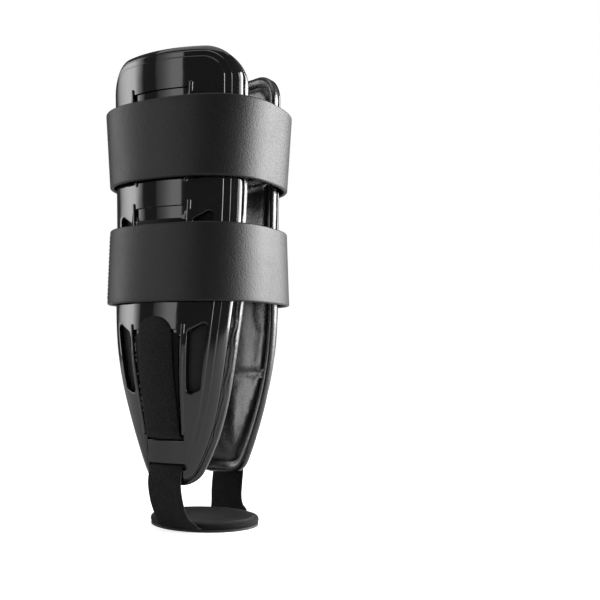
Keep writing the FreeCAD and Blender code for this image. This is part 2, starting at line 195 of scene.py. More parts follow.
def rounded_ring(corners, radius, grow=0.0, step=1.1 * MM):
    """Ring round a polygon with rounded corners, moved outwards by grow."""
    corners = np.array(corners, float)
    count = len(corners)
    area = 0.0
    for i in range(count):
        a, b = corners[i], corners[(i + 1) % count]
        area += a[0] * b[1] - b[0] * a[1]
    if area < 0:
        corners = corners[::-1]
    centres, normals = [], []
    for i in range(count):
        along = corners[(i + 1) % count] - corners[i]
        along = along / np.linalg.norm(along)
        normals.append(np.array([along[1], -along[0]]))
    for i in range(count):
        before, after = normals[i - 1], normals[i]
        bisector = before + after
        bisector = bisector / (bisector @ after)
        centres.append(corners[i] - radius * bisector)
    points = []
    for i in range(count):
        start = math.atan2(normals[i - 1][1], normals[i - 1][0])
        end = math.atan2(normals[i][1], normals[i][0])
        while end < start:
            end += 2 * math.pi
        points.append(arc_points(centres[i], radius + grow, start, end, 6))
        a = centres[i] + (radius + grow) * normals[i]
        b = centres[(i + 1) % count] + (radius + grow) * normals[i]
        share = np.linspace(0, 1, max(2, int(np.linalg.norm(b - a) / step)), endpoint=False)
        points.append(a + (b - a) * share[:, None])
    return np.concatenate(points)


def distance_to(points, ring):
    """Distance from each point to a closed ring, negative inside it."""
    start = ring
    along = np.roll(ring, -1, axis=0) - start
    length = np.maximum((along ** 2).sum(1), 1e-18)
    result = np.empty(len(points))
    for first in range(0, len(points), 4000):
        part = points[first:first + 4000, None, :]
        away = part - start[None]
        share = np.clip((away * along).sum(2) / length, 0, 1)
        gap = away - share[..., None] * along
        nearest = np.sqrt((gap ** 2).sum(2)).min(1)
        x, z = part[..., 0], part[..., 1]
        end = start + along
        crossing = (start[:, 1] > z) != (end[:, 1] > z)
        rise = np.where(np.abs(along[:, 1]) < 1e-12, 1e-12, along[:, 1])
        hit = x < start[:, 0] + (z - start[:, 1]) * along[:, 0] / rise
        inside = (crossing & hit).sum(1) % 2 == 1
        result[first:first + 4000] = np.where(inside, -nearest, nearest)
    return result


def smooth_step(value, low, high):
    share = np.clip((value - low) / (high - low), 0, 1)
    return share * share * (3 - 2 * share)


# %% [markdown]
# ## The three stations of the shell
# Each station is a recess between two slim ribs with a slanted window on either side. The two
# upper stations hold the wide straps, and the lowest one takes the free end of the heel strap.

# %% stations, windows, ribs and slots
STATIONS = (
    # bottom and top of the recess, rib half-spacing there, window's bottom and top (inner side)
    dict(low=0.065, high=0.129, rib_low=0.0146, rib_high=0.0190, win_low=0.0875, win_high=0.1275),
    dict(low=0.152, high=0.206, rib_low=0.0182, rib_high=0.0208, win_low=0.156, win_high=0.197),
    dict(low=0.222, high=0.279, rib_low=0.0186, rib_high=0.0220, win_low=0.221, win_high=0.262),
)
WINDOW_TOP, WINDOW_BOTTOM = 12.8 * MM, 8.8 * MM
RIB_RADIUS = 1.15 * MM
WEB_HALF = 12.5 * MM
SLOTS = ((0.0404, 0.0442), (0.0592, 0.0628))


def rib_x(station, z):
    share = (z - station["low"]) / (station["high"] - station["low"])
    return station["rib_low"] + (station["rib_high"] - station["rib_low"]) * share


def window_ring(station, hand, grow=0.0):
    low, high = station["win_low"], station["win_high"]
    inner_low = rib_x(station, low) + 2.6 * MM
    inner_high = rib_x(station, high) + 2.6 * MM
    corners = [(inner_low, low), (inner_low + WINDOW_BOTTOM, low + 4.0 * MM),
               (inner_high + WINDOW_TOP, high + 7.2 * MM), (inner_high, high)]
    return rounded_ring([(hand * x, z) for x, z in corners], 2.5 * MM, grow)


def recess_ring(station, grow=0.0):
    low, high = station["low"], station["high"]
    left, right = station["rib_low"] + 0.2 * MM, station["rib_high"] + 0.2 * MM
    corners = [(-left, low), (left, low), (right, high), (-right, high)]
    return rounded_ring(corners, 0.8 * MM, grow)


def rib_ends(station, hand):
    low, high = station["low"] - 1.0 * MM, station["high"] + 2.5 * MM
    return (np.array([hand * rib_x(station, low), low]),
            np.array([hand * rib_x(station, high), high]))


def slot_ring(slot, grow=0.0):
    half = WEB_HALF + 1.3 * MM
    low, high = slot
    return rounded_ring([(-half, low), (half, low), (half, high), (-half, high)], 1.0 * MM, grow)


def lane_ring(grow=0.0):
    """Flat lane that the heel strap climbs, between the tip and the lowest recess."""
    half = WEB_HALF + 2.6 * MM
    low, high = SHELL_TIP - 0.02, SLOTS[1][1] + 2.6 * MM
    return rounded_ring([(-half, low), (half, low), (half, high), (-half, high)], 1.0 * MM, grow)

# %% [markdown]
# ## One builder for every curved layer
# Shell, backing and cushion are all layers of the same curved sheet. The builder fills the
# outline with a fine triangle net whose lines run along every step, rib and window, then sets
# each corner at its own offset from the sheet. A net that follows the features gives crisp
# mouldings without the ragged edges that a boolean cut leaves on a glossy surface.

# %% builder of curved layers
def fill_outline(edge, rings, holes, grid):
    """Triangle net inside edge and outside holes, with lines along all rings."""
    points, lines = [], []
    for ring in [edge] + rings + holes:
        first = len(points)
        count = len(ring)
        points.extend(ring / MM)
        lines.extend((first + i, first + (i + 1) % count) for i in range(count))
    fixed = np.array(points)
    low, high = fixed.min(0), fixed.max(0)
    step = grid / MM
    x, z = np.meshgrid(np.arange(low[0] + step / 2, high[0], step),
                       np.arange(low[1] + step / 2, high[1], step))
    z = z + 0.5 * step * (np.round(x / step).astype(int) % 2)
    loose = np.stack([x.ravel(), z.ravel()], axis=1)
    near = np.full(len(loose), 1e9)
    for first in range(0, len(loose), 1000):
        gap = loose[first:first + 1000, None, :] - fixed[None]
        near[first:first + 1000] = np.sqrt((gap ** 2).sum(2).min(1))
    loose = loose[near > 0.55 * step]
    loose = loose[distance_to(loose * MM, edge) < 0]
    every = [Vector((float(p[0]), float(p[1]))) for p in np.concatenate([fixed, loose])]
    net = delaunay_2d_cdt(every, lines, [], 0, 1e-4)
    corners = np.array([tuple(v) for v in net[0]]) * MM
    faces = np.array([tuple(f) for f in net[2]])
    middle = corners[faces].mean(1)
    keep = distance_to(middle, edge) < 0
    for hole in holes:
        keep &= distance_to(middle, hole) > 0
    faces = faces[keep]
    used = np.unique(faces)
    renumber = np.full(len(corners), -1)
    renumber[used] = np.arange(len(used))
    return corners[used], renumber[faces]


def border_lines(faces):
    """Edges that belong to one triangle only, in that triangle's order."""
    sides = np.concatenate([faces[:, [0, 1]], faces[:, [1, 2]], faces[:, [2, 0]]])
    key = np.sort(sides, axis=1)
    _, place, count = np.unique(key, axis=0, return_index=True, return_counts=True)
    return sides[place[count == 1]]


def add_layer(name, side, net, outer, inner, smooth_angle=40.0, place=None):
    """Closed layer from a net and two offset functions; side is -1 medial, 1 lateral."""
    flat, faces = net
    x, z = (place(flat) if place else flat).T
    front = on_shell(x, z, outer(flat))
    back = on_shell(x, z, inner(flat))
    count = len(flat)
    walls = [(a, b, b + count, a + count) for a, b in border_lines(faces)]
    points = np.concatenate([front, back])
    points[:, 1] *= -side
    return add_mesh(name, points, list(faces) + list(faces[:, ::-1] + count) + walls, smooth_angle)


# %% [markdown]
# ## The shells
# A moulded shell is never a plain sheet. Its rim is a rounded flange, then two terraces that
# rise to the raised field. The recesses drop back to the sheet, and the ribs stand as half
# rounds along their sides. All of that is one offset, added up from distances to the outlines.

# %% the shell's relief
FIELD = 1.2 * MM
EDGE_ROUND = 0.7 * MM
LIP, LIP_DROP = 3.5 * MM, 1.8 * MM
SPUR_HALF, SPUR_RISE = 2.5 * MM, 0.9 * MM
RIM_RINGS = (0.06, 0.15, 0.3, 0.5, 0.7, 0.85, 1.0, 1.15, 1.5, 2.0, 2.5, 3.0, 3.4, 3.6, 3.75, 3.9, 4.05, 4.2,
             4.4, 5.2, 6.2, 7.0, 7.2, 7.35, 7.5, 7.65, 7.8, 8.0, 8.3)


def round_over(distance, radius):
    """Drop of a rounded edge at a distance inside it."""
    short = np.clip(radius - distance, 0, radius)
    return radius - np.sqrt(np.maximum(radius ** 2 - short ** 2, 0))


HOLES = [window_ring(s, hand) for s in STATIONS for hand in (-1, 1)] + [slot_ring(s) for s in SLOTS]


def hole_distance(flat):
    return np.min([distance_to(flat, hole) for hole in HOLES], axis=0)


def segment_distance(flat, a, b):
    along = b - a
    share = np.clip(((flat - a) @ along) / (along @ along), 0, 1)
    return np.sqrt(((flat - a - share[:, None] * along) ** 2).sum(1))


def lip(inset):
    """Fall of the shell's edge, which curls towards the leg and carries a fine bead line."""
    share = np.clip(1 - inset / LIP, 0, 1)
    return LIP_DROP * share ** 1.5 + 0.1 * MM * (1 - smooth_step(inset, 0.85 * MM, 1.0 * MM))


def rib_spurs(flat):
    """Pointed spur on which each rib runs out at its top."""
    bump = np.zeros(len(flat))
    for station in STATIONS:
        for hand in (-1, 1):
            tip = rib_ends(station, hand)[1][1] + 1.0 * MM
            along = np.clip((tip - flat[:, 1]) / (13 * MM), 0, 1.6)
            width = SPUR_HALF * np.minimum(along, 1) + 1e-6
            away = np.abs(flat[:, 0] - hand * rib_x(station, flat[:, 1]))
            across = np.maximum(1 - (away / width) ** 2, 0)
            fade = smooth_step(1.6 - along, 0, 0.6)
            bump = np.maximum(bump, across * np.minimum(along, 1) ** 0.7 * fade)
    return bump


def shell_relief(flat):
    inset = -distance_to(flat, shell_edge(0))
    rise = 0.45 * FIELD * smooth_step(inset, 3.6 * MM, 4.2 * MM)
    rise = rise + 0.55 * FIELD * smooth_step(inset, 7.2 * MM, 7.8 * MM)
    lane = smooth_step(-distance_to(flat, lane_ring()), -0.3 * MM, 0.5 * MM)
    rise = rise * (1 - lane)
    for station in STATIONS:
        depth = smooth_step(-distance_to(flat, recess_ring(station)), -0.1 * MM, 0.4 * MM)
        rise = rise * (1 - depth)
    rise = np.maximum(rise, rise + SPUR_RISE * rib_spurs(flat))
    for station in STATIONS:
        for hand in (-1, 1):
            away = segment_distance(flat, *rib_ends(station, hand))
            ridge = FIELD - 0.15 * MM + np.sqrt(np.maximum(RIB_RADIUS ** 2 - away ** 2, 0))
            rise = np.where(away < RIB_RADIUS, np.maximum(rise, ridge), rise)
    return rise - lip(inset) - round_over(inset, EDGE_ROUND) - round_over(hole_distance(flat), 0.6 * MM)


def shell_back(flat):
    inset = -distance_to(flat, shell_edge(0))
    return -SHELL_THICK - 0.65 * lip(inset) + 0.5 * round_over(inset, EDGE_ROUND)


def capsule_ring(a, b, radius, count=8):
    along = (b - a) / np.linalg.norm(b - a)
    heading = math.atan2(along[1], along[0])
    quarter = math.pi / 2
    far = arc_points(b, radius, heading - quarter, heading + quarter, count)
    near = arc_points(a, radius, heading + quarter, heading + 3 * quarter, count)
    steps = int(np.linalg.norm(b - a) / (1.1 * MM))
    share = np.linspace(0, 1, steps, endpoint=False)[:, None]
    side = np.array([-along[1], along[0]]) * radius
    return np.concatenate([far, b + side + (a - b) * share, near, a - side + (b - a) * share])


def shell_net():
    rings = [shell_edge(inset * MM) for inset in RIM_RINGS]
    for station in STATIONS:
        rings += [recess_ring(station, grow * MM) for grow in (-0.4, -0.15, 0.1)]
        for hand in (-1, 1):
            rings += [window_ring(station, hand, grow * MM) for grow in (0.08, 0.3, 0.62)]
            rings += [capsule_ring(*rib_ends(station, hand), RIB_RADIUS * share)
                      for share in (1.0, 0.97, 0.85, 0.6, 0.25)]
            top = rib_ends(station, hand)[1]
            rings += [capsule_ring(top - np.array([0, 9 * MM]), top, RIB_RADIUS + more * MM)
                      for more in (0.5, 1.1)]
    for slot in SLOTS:
        rings += [slot_ring(slot, grow * MM) for grow in (0.08, 0.3, 0.62)]
    rings += [lane_ring(grow * MM) for grow in (-0.5, 0.0, 0.3)]
    rings = [ring for ring in rings if len(ring) > 3]
    return fill_outline(shell_edge(0), rings, HOLES, 1.7 * MM)


SHELL_NET = shell_net()
SIDES = (("medial", -1), ("lateral", 1))
shells = {}
for side_name, side in SIDES:
    shells[side_name] = add_layer(side_name + "_moulded_shell", side, SHELL_NET,
                                  shell_relief, shell_back)
    print(side_name, "shell:", len(shells[side_name].data.polygons), "faces")
    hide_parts(side_name + "_shell")
    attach(shells[side_name], "cuff")

# %% [markdown]
# ## The linings
# Each lining is a cushion with a brushed backing. The backing faces the shell and swells a
# little into the windows, which is what shows through them. It stays flat behind the two slots,
# where the heel strap needs the room. The cushion's skin is welded along
# a seam that runs round near its edge and across it, so it swells between the seams.

# %% backing fabric behind the shells
OVERHANG = 3.0 * MM
BACKING_OUT = -4.6 * MM
BACKING_IN = -5.4 * MM
CUSHION_IN = -11.4 * MM
BACKING_INSET = 2.0 * MM


def lining_place(flat):
    """Round the ankle the lining stands out beyond the shell; further up it hardly does."""
    x, z = flat.T
    trim = 0.8 * OVERHANG * smooth_step(z, 150 * MM, 178 * MM)
    return np.stack([x * (1 - trim / half_width(z)),
                     z - trim * smooth_step(z, 240 * MM, SHELL_TOP + OVERHANG)], axis=1)


def backing_face(flat):
    above_slots = smooth_step(flat[:, 1], 64 * MM, 68 * MM)
    swell = 1.9 * MM * above_slots * smooth_step(-hole_distance(flat), -3.0 * MM, 0.6 * MM)
    edge = -distance_to(flat, shell_edge(BACKING_INSET))
    return BACKING_OUT + swell - round_over(edge, 0.7 * MM)


def backing_back(flat):
    return np.full(len(flat), BACKING_IN + 0.05 * MM)


backing_rings = [shell_edge(BACKING_INSET + inset * MM) for inset in (0.2, 0.7, 1.6)]
backing_rings += [window_ring(s, hand, -0.6 * MM) for s in STATIONS for hand in (-1, 1)]
BACKING_NET = fill_outline(shell_edge(BACKING_INSET), backing_rings, [], 2.6 * MM)
backings = {}
for side_name, side in SIDES:
    backings[side_name] = add_layer(side_name + "_lining_backing", side, BACKING_NET,
                                    backing_face, backing_back, place=lining_place)
    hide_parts(side_name + "_pad_backing")
    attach(backings[side_name], "cuff")
print("backing:", len(BACKING_NET[1]), "triangles a side")

# %% [markdown]
# The cushion is blown up as a real one is: its skin is a cloth with air behind it. The seams and
# the face against the backing are pinned, so only the skin between the seams can swell, and how
# far it may move is capped.

# %% cushions, swollen by a cloth simulation
SEAM_INSET = 8.0 * MM
CROSS_SEAMS = (0.100, 0.165, 0.230)
SWELL_CAP = 1.3 * MM


def seam_distance(flat):
    """Distance from the welded seams of the cushion."""
    ring = np.abs(-distance_to(flat, shell_edge(-OVERHANG)) - SEAM_INSET)
    across = np.min([np.abs(flat[:, 1] - z) for z in CROSS_SEAMS], axis=0)
    inside = -distance_to(flat, shell_edge(-OVERHANG)) > SEAM_INSET
    return np.minimum(ring, np.where(inside, across, 1.0))


def cushion_face(flat):
    """Against the backing it is flat; beyond it the skin is welded into a wrinkled lip."""
    edge = -distance_to(flat, shell_edge(-OVERHANG))
    x, z = flat.T
    drift = (0.9 * np.sin(z / (4.1 * MM)) + 0.6 * np.sin(z / (2.3 * MM) + 1.0)
             + 0.5 * np.sin(x / (2.9 * MM)))
    wrinkle = np.cos(edge * 2 * math.pi / (1.9 * MM) + drift)
    lip_share = 1 - smooth_step(edge, 3.4 * MM, 5.0 * MM)
    return BACKING_IN + lip_share * (0.7 + 0.28 * wrinkle) * MM - round_over(edge, 0.9 * MM)


def cushion_leg_side(flat):
    edge = -distance_to(flat, shell_edge(-OVERHANG))
    seam = 1.8 * MM * (1 - smooth_step(seam_distance(flat), 0, 3.0 * MM))
    return CUSHION_IN + 1.0 * MM + seam + 1.05 * round_over(edge, 4.0 * MM)


def cushion_net():
    lip_rings = (0.12, 0.35, 0.7, 1.1, 1.5, 1.9, 2.3, 2.8, 3.4, 4.0, 4.6, 6.0, 8.0, 10.0)
    rings = [shell_edge(-OVERHANG + inset * MM, 1.5 * MM) for inset in lip_rings]
    return fill_outline(shell_edge(-OVERHANG, 1.5 * MM), rings, [], 2.8 * MM)


def swell_cushion(piece, pinned):
    """Blows the piece up as cloth and keeps the result; pinned holds one weight per vertex."""
    group = piece.vertex_groups.new(name="seams")
    for index, weight in enumerate(pinned):
        group.add([index], float(weight), "REPLACE")
    before = np.empty(len(piece.data.vertices) * 3)
    piece.data.vertices.foreach_get("co", before)
    cloth = piece.modifiers.new("air", "CLOTH")
    cloth.settings.quality = 5
    cloth.settings.mass = 0.2
    cloth.settings.tension_stiffness = 12
    cloth.settings.compression_stiffness = 12
    cloth.settings.bending_stiffness = 0.4
    cloth.settings.use_pressure = True
    cloth.settings.uniform_pressure_force = 4.0
    cloth.settings.vertex_group_mass = "seams"
    cloth.settings.effector_weights.gravity = 0
    cloth.collision_settings.use_collision = False
    scene = bpy.context.scene
    for step in range(1, 17):
        scene.frame_set(step)
    shown = piece.evaluated_get(bpy.context.evaluated_depsgraph_get())
    after = np.empty(len(before))
    shown.data.vertices.foreach_get("co", after)
    piece.modifiers.remove(cloth)
    piece.vertex_groups.clear()
    scene.frame_set(1)
    move = (after - before).reshape(-1, 3)
    length = np.maximum(np.linalg.norm(move, axis=1), 1e-9)
    move *= np.minimum(1.0, SWELL_CAP / length)[:, None]
    piece.data.vertices.foreach_set("co", (before.reshape(-1, 3) + move).ravel())
    piece.data.update()
    most = float(np.minimum(length, SWELL_CAP).max())
    print(piece.name, "swelled by up to", round(most / MM, 2), "mm")


CUSHION_NET = cushion_net()
cushions = {}
for side_name, side in SIDES:
    cushion = add_layer(side_name + "_lining_cushion", side, CUSHION_NET,
                        cushion_face, cushion_leg_side, 60.0, lining_place)
    flat = CUSHION_NET[0]
    held = 1 - smooth_step(seam_distance(flat), 0.5 * MM, 2.5 * MM)
    swell_cushion(cushion, np.concatenate([np.ones(len(flat)), held]))
    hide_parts(side_name + "_pad_cushion")
    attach(cushion, "cuff")
    cushions[side_name] = cushion

# %% [markdown]
# ## The wide straps
# A closed strap takes the shape of a squared oval, which a superellipse draws with one number
# for its squareness. The strap is a band of constant thickness with soft edges. The stretch over
# the near shell and the front arm, which opens, are one length of strap, and the rear arm is sewn
# on at the back.

# %% the strap's ring
STRAP_THICK = 2.7 * MM
STRAP_LIFT = 4.4 * MM
RING_POWER = 2.6
HINGE_X = 50 * MM
OVERLAP_END = -20 * MM
OVERLAP_START = 10 * MM
TAB_LENGTH = 11 * MM
GAP = 0.3 * MM
ARM_SWELL = STRAP_THICK + 0.9 * MM + 1.4 * GAP
LOWER_LOW, LOWER_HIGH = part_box("lower_strap_centre")
UPPER_LOW, UPPER_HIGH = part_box("upper_strap_centre")
STRAPS = {
    "lower": dict(low=LOWER_LOW.z, high=LOWER_HIGH.z, long_low=57.6 * MM, long_high=56.6 * MM),
    "upper": dict(low=UPPER_LOW.z, high=UPPER_HIGH.z, long_low=57.0 * MM, long_high=61.0 * MM),
}


def ring_point(strap, angle, z, offset=0.0, swell=0.0):
    """Point of the strap's outer face, moved inwards by offset; swell widens the far side."""
    share = (z - strap["low"]) / (strap["high"] - strap["low"])
    half_x = strap["long_low"] + (strap["long_high"] - strap["long_low"]) * share
    crown_low, crown_high = crown(strap["low"]), crown(strap["high"])
    half_y = crown_low + (crown_high - crown_low) * share + STRAP_LIFT

    def at(turn):
        c, s = np.cos(turn), np.sin(turn)
        y = half_y + np.where(s > 0, swell, 0.0)
        return (half_x * np.sign(c) * np.abs(c) ** (2 / RING_POWER),
                y * np.sign(s) * np.abs(s) ** (2 / RING_POWER))

    x, y = at(angle)
    ahead_x, ahead_y = at(angle + 0.01)
    behind_x, behind_y = at(angle - 0.01)
    across = np.stack([behind_y - ahead_y, ahead_x - behind_x])
    across = across / np.maximum(np.sqrt((across ** 2).sum(0)), 1e-12)
    return np.stack([x + across[0] * offset + LEG_X, y + across[1] * offset, z + 0 * x], axis=-1)


def angle_at(strap, x, side):
    half_x = (strap["long_low"] + strap["long_high"]) / 2
    share = min(abs(x) / half_x, 1.0) ** (RING_POWER / 2)
    return side * math.acos(math.copysign(share, x))


def even_angles(strap, start, end, swell, distances):
    """Ring angles at the given distances along the strap, plus its whole length."""
    dense = np.linspace(start, end, 4000)
    middle = (strap["low"] + strap["high"]) / 2
    points = ring_point(strap, dense, np.full(len(dense), middle), 0.0, swell)
    run = np.concatenate([[0], np.cumsum(np.linalg.norm(np.diff(points, axis=0), axis=1))])
    return np.interp(distances(run[-1]), run, dense), run[-1]


def band_section(half_height, thickness, radius):
    """Closed section of a flat band: (offset inwards, height) pairs."""
    heights = np.linspace(-half_height + radius, half_height - radius, 15)
    quarter = math.pi / 2
    outer = np.stack([np.zeros(15), heights], axis=1)
    upper = arc_points((radius, half_height - radius), radius, math.pi, quarter, 5)[1:]
    upper_in = arc_points((thickness - radius, half_height - radius), radius, quarter, 0, 5)
    inner = np.stack([np.full(15, thickness), heights[::-1]], axis=1)
    lower_in = arc_points((thickness - radius, radius - half_height), radius, 0, -quarter, 5)[1:]
    lower = arc_points((radius, radius - half_height), radius, -quarter, -math.pi, 5)
    return np.concatenate([outer, upper, upper_in, inner, lower_in, lower])


def skin_rows(rows, close_ends=True):
    """Faces of a tube given as equal rows of points."""
    count_rows, count = rows.shape[:2]
    faces = []
    for i in range(count_rows - 1):
        for j in range(count):
            k = (j + 1) % count
            faces.append((i * count + j, i * count + k, (i + 1) * count + k, (i + 1) * count + j))
    if close_ends:
        faces.append(tuple(range(count))[::-1])
        faces.append(tuple((count_rows - 1) * count + j for j in range(count)))
    return rows.reshape(-1, 3), faces


def strap_band(name, strap, start, end, swell=0.0, half_height=None, thickness=STRAP_THICK,
               sunk=0.0, corner=(0.0, 0.0), step=1.4 * MM):
    """Band of strap between two ring angles; corner rounds its two ends as seen from outside."""
    half_height = half_height or (strap["high"] - strap["low"]) / 2
    edge = 0.42 * thickness
    section = band_section(half_height, thickness, edge)

    def stations(length):
        fine = np.array([0, 0.08, 0.2, 0.4, 0.7, 1.1, 1.7, 2.5, 3.5, 4.7, 6.0]) * MM
        inner = np.linspace(7.2 * MM, length - 7.2 * MM, max(2, int(length / step)))
        return np.concatenate([fine, inner, length - fine[::-1]])

    angles, length = even_angles(strap, start, end, swell, stations)
    places = stations(length)
    middle = (strap["low"] + strap["high"]) / 2
    rows = []
    for angle, place in zip(angles, places):
        from_start, from_end = place, length - place
        thin = float(round_over(np.array(min(from_start, from_end)), edge))
        cut = 0.0
        for gone, size in ((from_start, corner[0]), (from_end, corner[1])):
            if size:
                cut = max(cut, float(round_over(np.array(gone), size)))
        offset = thin + section[:, 0] * (thickness - 2 * thin) / thickness + sunk
        height = section[:, 1] * (half_height - thin - cut) / half_height
        rows.append(ring_point(strap, np.full(len(section), angle), middle + height, offset, swell))
    points, faces = skin_rows(np.array(rows))
    return add_mesh(name, points, faces, 60.0)


# %% [markdown]
# Each strap is three ribbons round the ring: the main one runs from the rear hinge across the
# near side to the front arm's end, the rear one laps under it, and the tab runs on from its end.

# %% the straps' pieces
wide_straps = []
tabs = []
for strap_name, strap in STRAPS.items():
    front = angle_at(strap, HINGE_X, -1)
    rear = angle_at(strap, -HINGE_X, -1)
    front_end = angle_at(strap, OVERLAP_END, 1)
    rear_end = angle_at(strap, OVERLAP_START, 1) - 2 * math.pi
    tab_end = angle_at(strap, OVERLAP_END - TAB_LENGTH, 1)
    middle = (strap["low"] + strap["high"]) / 2
    main = strap_band(strap_name + "_strap_main", strap, rear, front_end, ARM_SWELL,
                      corner=(0.0, 6 * MM))
    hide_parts(strap_name + "_strap_centre", strap_name + "_strap_front_arm")
    tuple(ring_point(strap, np.array(front - 0.10), middle, 0.0))
    tuple(ring_point(strap, np.array(front + 0.22), middle, 0.0))
    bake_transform(main)
    back = strap_band(strap_name + "_strap_rear", strap, rear, rear_end, corner=(0.0, 6 * MM))
    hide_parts(strap_name + "_strap_rear_arm")
    tuple(ring_point(strap, np.array(rear), middle, 0.0))
    tuple(ring_point(strap, np.array(rear - 0.25), middle, 0.0))
    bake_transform(back)
    tab = strap_band(strap_name + "_pull_tab", strap, front_end + 0.01, tab_end, ARM_SWELL,
                     15 * MM, 1.5 * MM, 0.6 * MM, (0.0, 7 * MM))
    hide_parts(strap_name + "_strap_tab")
    tuple(ring_point(strap, np.array(front_end + 0.01), middle, 0.0, ARM_SWELL))
    tuple(ring_point(strap, np.array(front_end + 0.08), middle, 0.0, ARM_SWELL))
    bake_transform(tab)
    for piece in (main, back):
        wide_straps.append(piece)
    tabs.append(tab)
    print(strap_name, "strap:", len(main.data.polygons) + len(back.data.polygons), "faces")

# %% [markdown]
# ## The heel strap
# One narrow loop webbing makes the stirrup. It lies under the heel pad, climbs both sides,
# threads in through the lower slot and out through the upper one, and its free end lies up the
# recess as a tongue. Its path is drawn with a few points and rounded by cutting corners, which
# bends it the way a stiff webbing bends.

# %% webbing ribbons
WEB_THICK = 1.5 * MM
SLING_LOW, SLING_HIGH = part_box("heel_strap_sling")
TONGUE_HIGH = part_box("medial_heel_tongue")[1]
SLOT_LOW, SLOT_HIGH = [sum(slot) / 2 for slot in SLOTS]


def cut_corners(points, times=4):
    """Chaikin's corner cutting, which keeps both ends."""
    points = np.array(points, float)
    for _ in range(times):
        a, b = points[:-1], points[1:]
        mixed = np.stack([0.75 * a + 0.25 * b, 0.25 * a + 0.75 * b], axis=1).reshape(-1, points.shape[1])
        points = np.concatenate([points[:1], mixed, points[-1:]])
    return points


def even_line(points, step):
    run = np.concatenate([[0], np.cumsum(np.linalg.norm(np.diff(points, axis=0), axis=1))])
    at = np.linspace(0, run[-1], int(run[-1] / step) + 1)
    return np.stack([np.interp(at, run, points[:, i]) for i in range(points.shape[1])], axis=1), at


def web_section(half_width_here, thickness):
    """Section of the webbing: (across, out) pairs with round selvedges."""
    half = thickness / 2
    across = np.linspace(-1, 1, 15) * (half_width_here - half)
    quarter = math.pi / 2
    top = np.stack([across, np.full(15, half)], axis=1)
    right = arc_points((half_width_here - half, 0), half, quarter, -quarter, 6)[1:]
    bottom = np.stack([across[::-1], np.full(15, -half)], axis=1)
    left = arc_points((half - half_width_here, 0), half, -quarter, -3 * quarter, 6)[1:]
    return np.concatenate([top, right, bottom, left])


def line_normals(line):
    """Unit normals, on the left of a line of pairs."""
    along = np.gradient(line, axis=0)
    along /= np.linalg.norm(along, axis=1)[:, None]
    return np.stack([-along[:, 1], along[:, 0]], axis=1)


# %% [markdown]
# Above the upper slot the webbing lies in the recess and ends round, and it bends just above
# the slot.

# %% tongues of the heel strap
TONGUE_LIFT = 1.95 * MM


def make_tongue(side_name, side):
    inner = -SHELL_THICK - 0.5 * MM - WEB_THICK / 2
    path = [(0.0500, inner), (SLOT_HIGH - 3.4 * MM, inner), (SLOT_HIGH - 0.4 * MM, inner + 0.3 * MM),
            (SLOT_HIGH + 0.4 * MM, 0.6 * MM), (SLOT_HIGH + 3.4 * MM, TONGUE_LIFT + 0.5 * MM),
            (SLOT_HIGH + 9 * MM, TONGUE_LIFT), (0.095, TONGUE_LIFT + 0.2 * MM),
            (0.125, TONGUE_LIFT + 0.05 * MM), (TONGUE_HIGH.z, TONGUE_LIFT + 0.15 * MM)]
    line, run = even_line(cut_corners(path), 0.9 * MM)
    normals = line_normals(line)
    rows = []
    for (z, out), (normal_z, normal_out), place in zip(line, normals, run):
        gone = max(WEB_HALF - (run[-1] - place), 0)
        half = max(math.sqrt(max(WEB_HALF ** 2 - gone ** 2, 0)), 0.9 * MM)
        thin = max(0.25, 1 - math.exp(-(run[-1] - place) / (0.4 * MM)) * 0.75)
        section = web_section(half, WEB_THICK * thin)
        rows.append(on_shell(section[:, 0], z + section[:, 1] * normal_z,
                             out + section[:, 1] * normal_out))
    points, faces = skin_rows(np.array(rows))
    points[:, 1] *= -side
    piece = add_mesh(side_name + "_heel_strap_tongue", points, faces, 70.0)
    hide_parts(side_name + "_heel_tongue")
    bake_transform(piece)
    return piece


tongues = [make_tongue(*pair) for pair in SIDES]

# %% [markdown]
# The rest of the heel strap is one ribbon from slot to slot: down from the bridge, under the
# heel and up again. Its path turns up between the pad and the shells, where the ankle flexes.

# %% the sling under the heel
SLING_X = -5 * MM


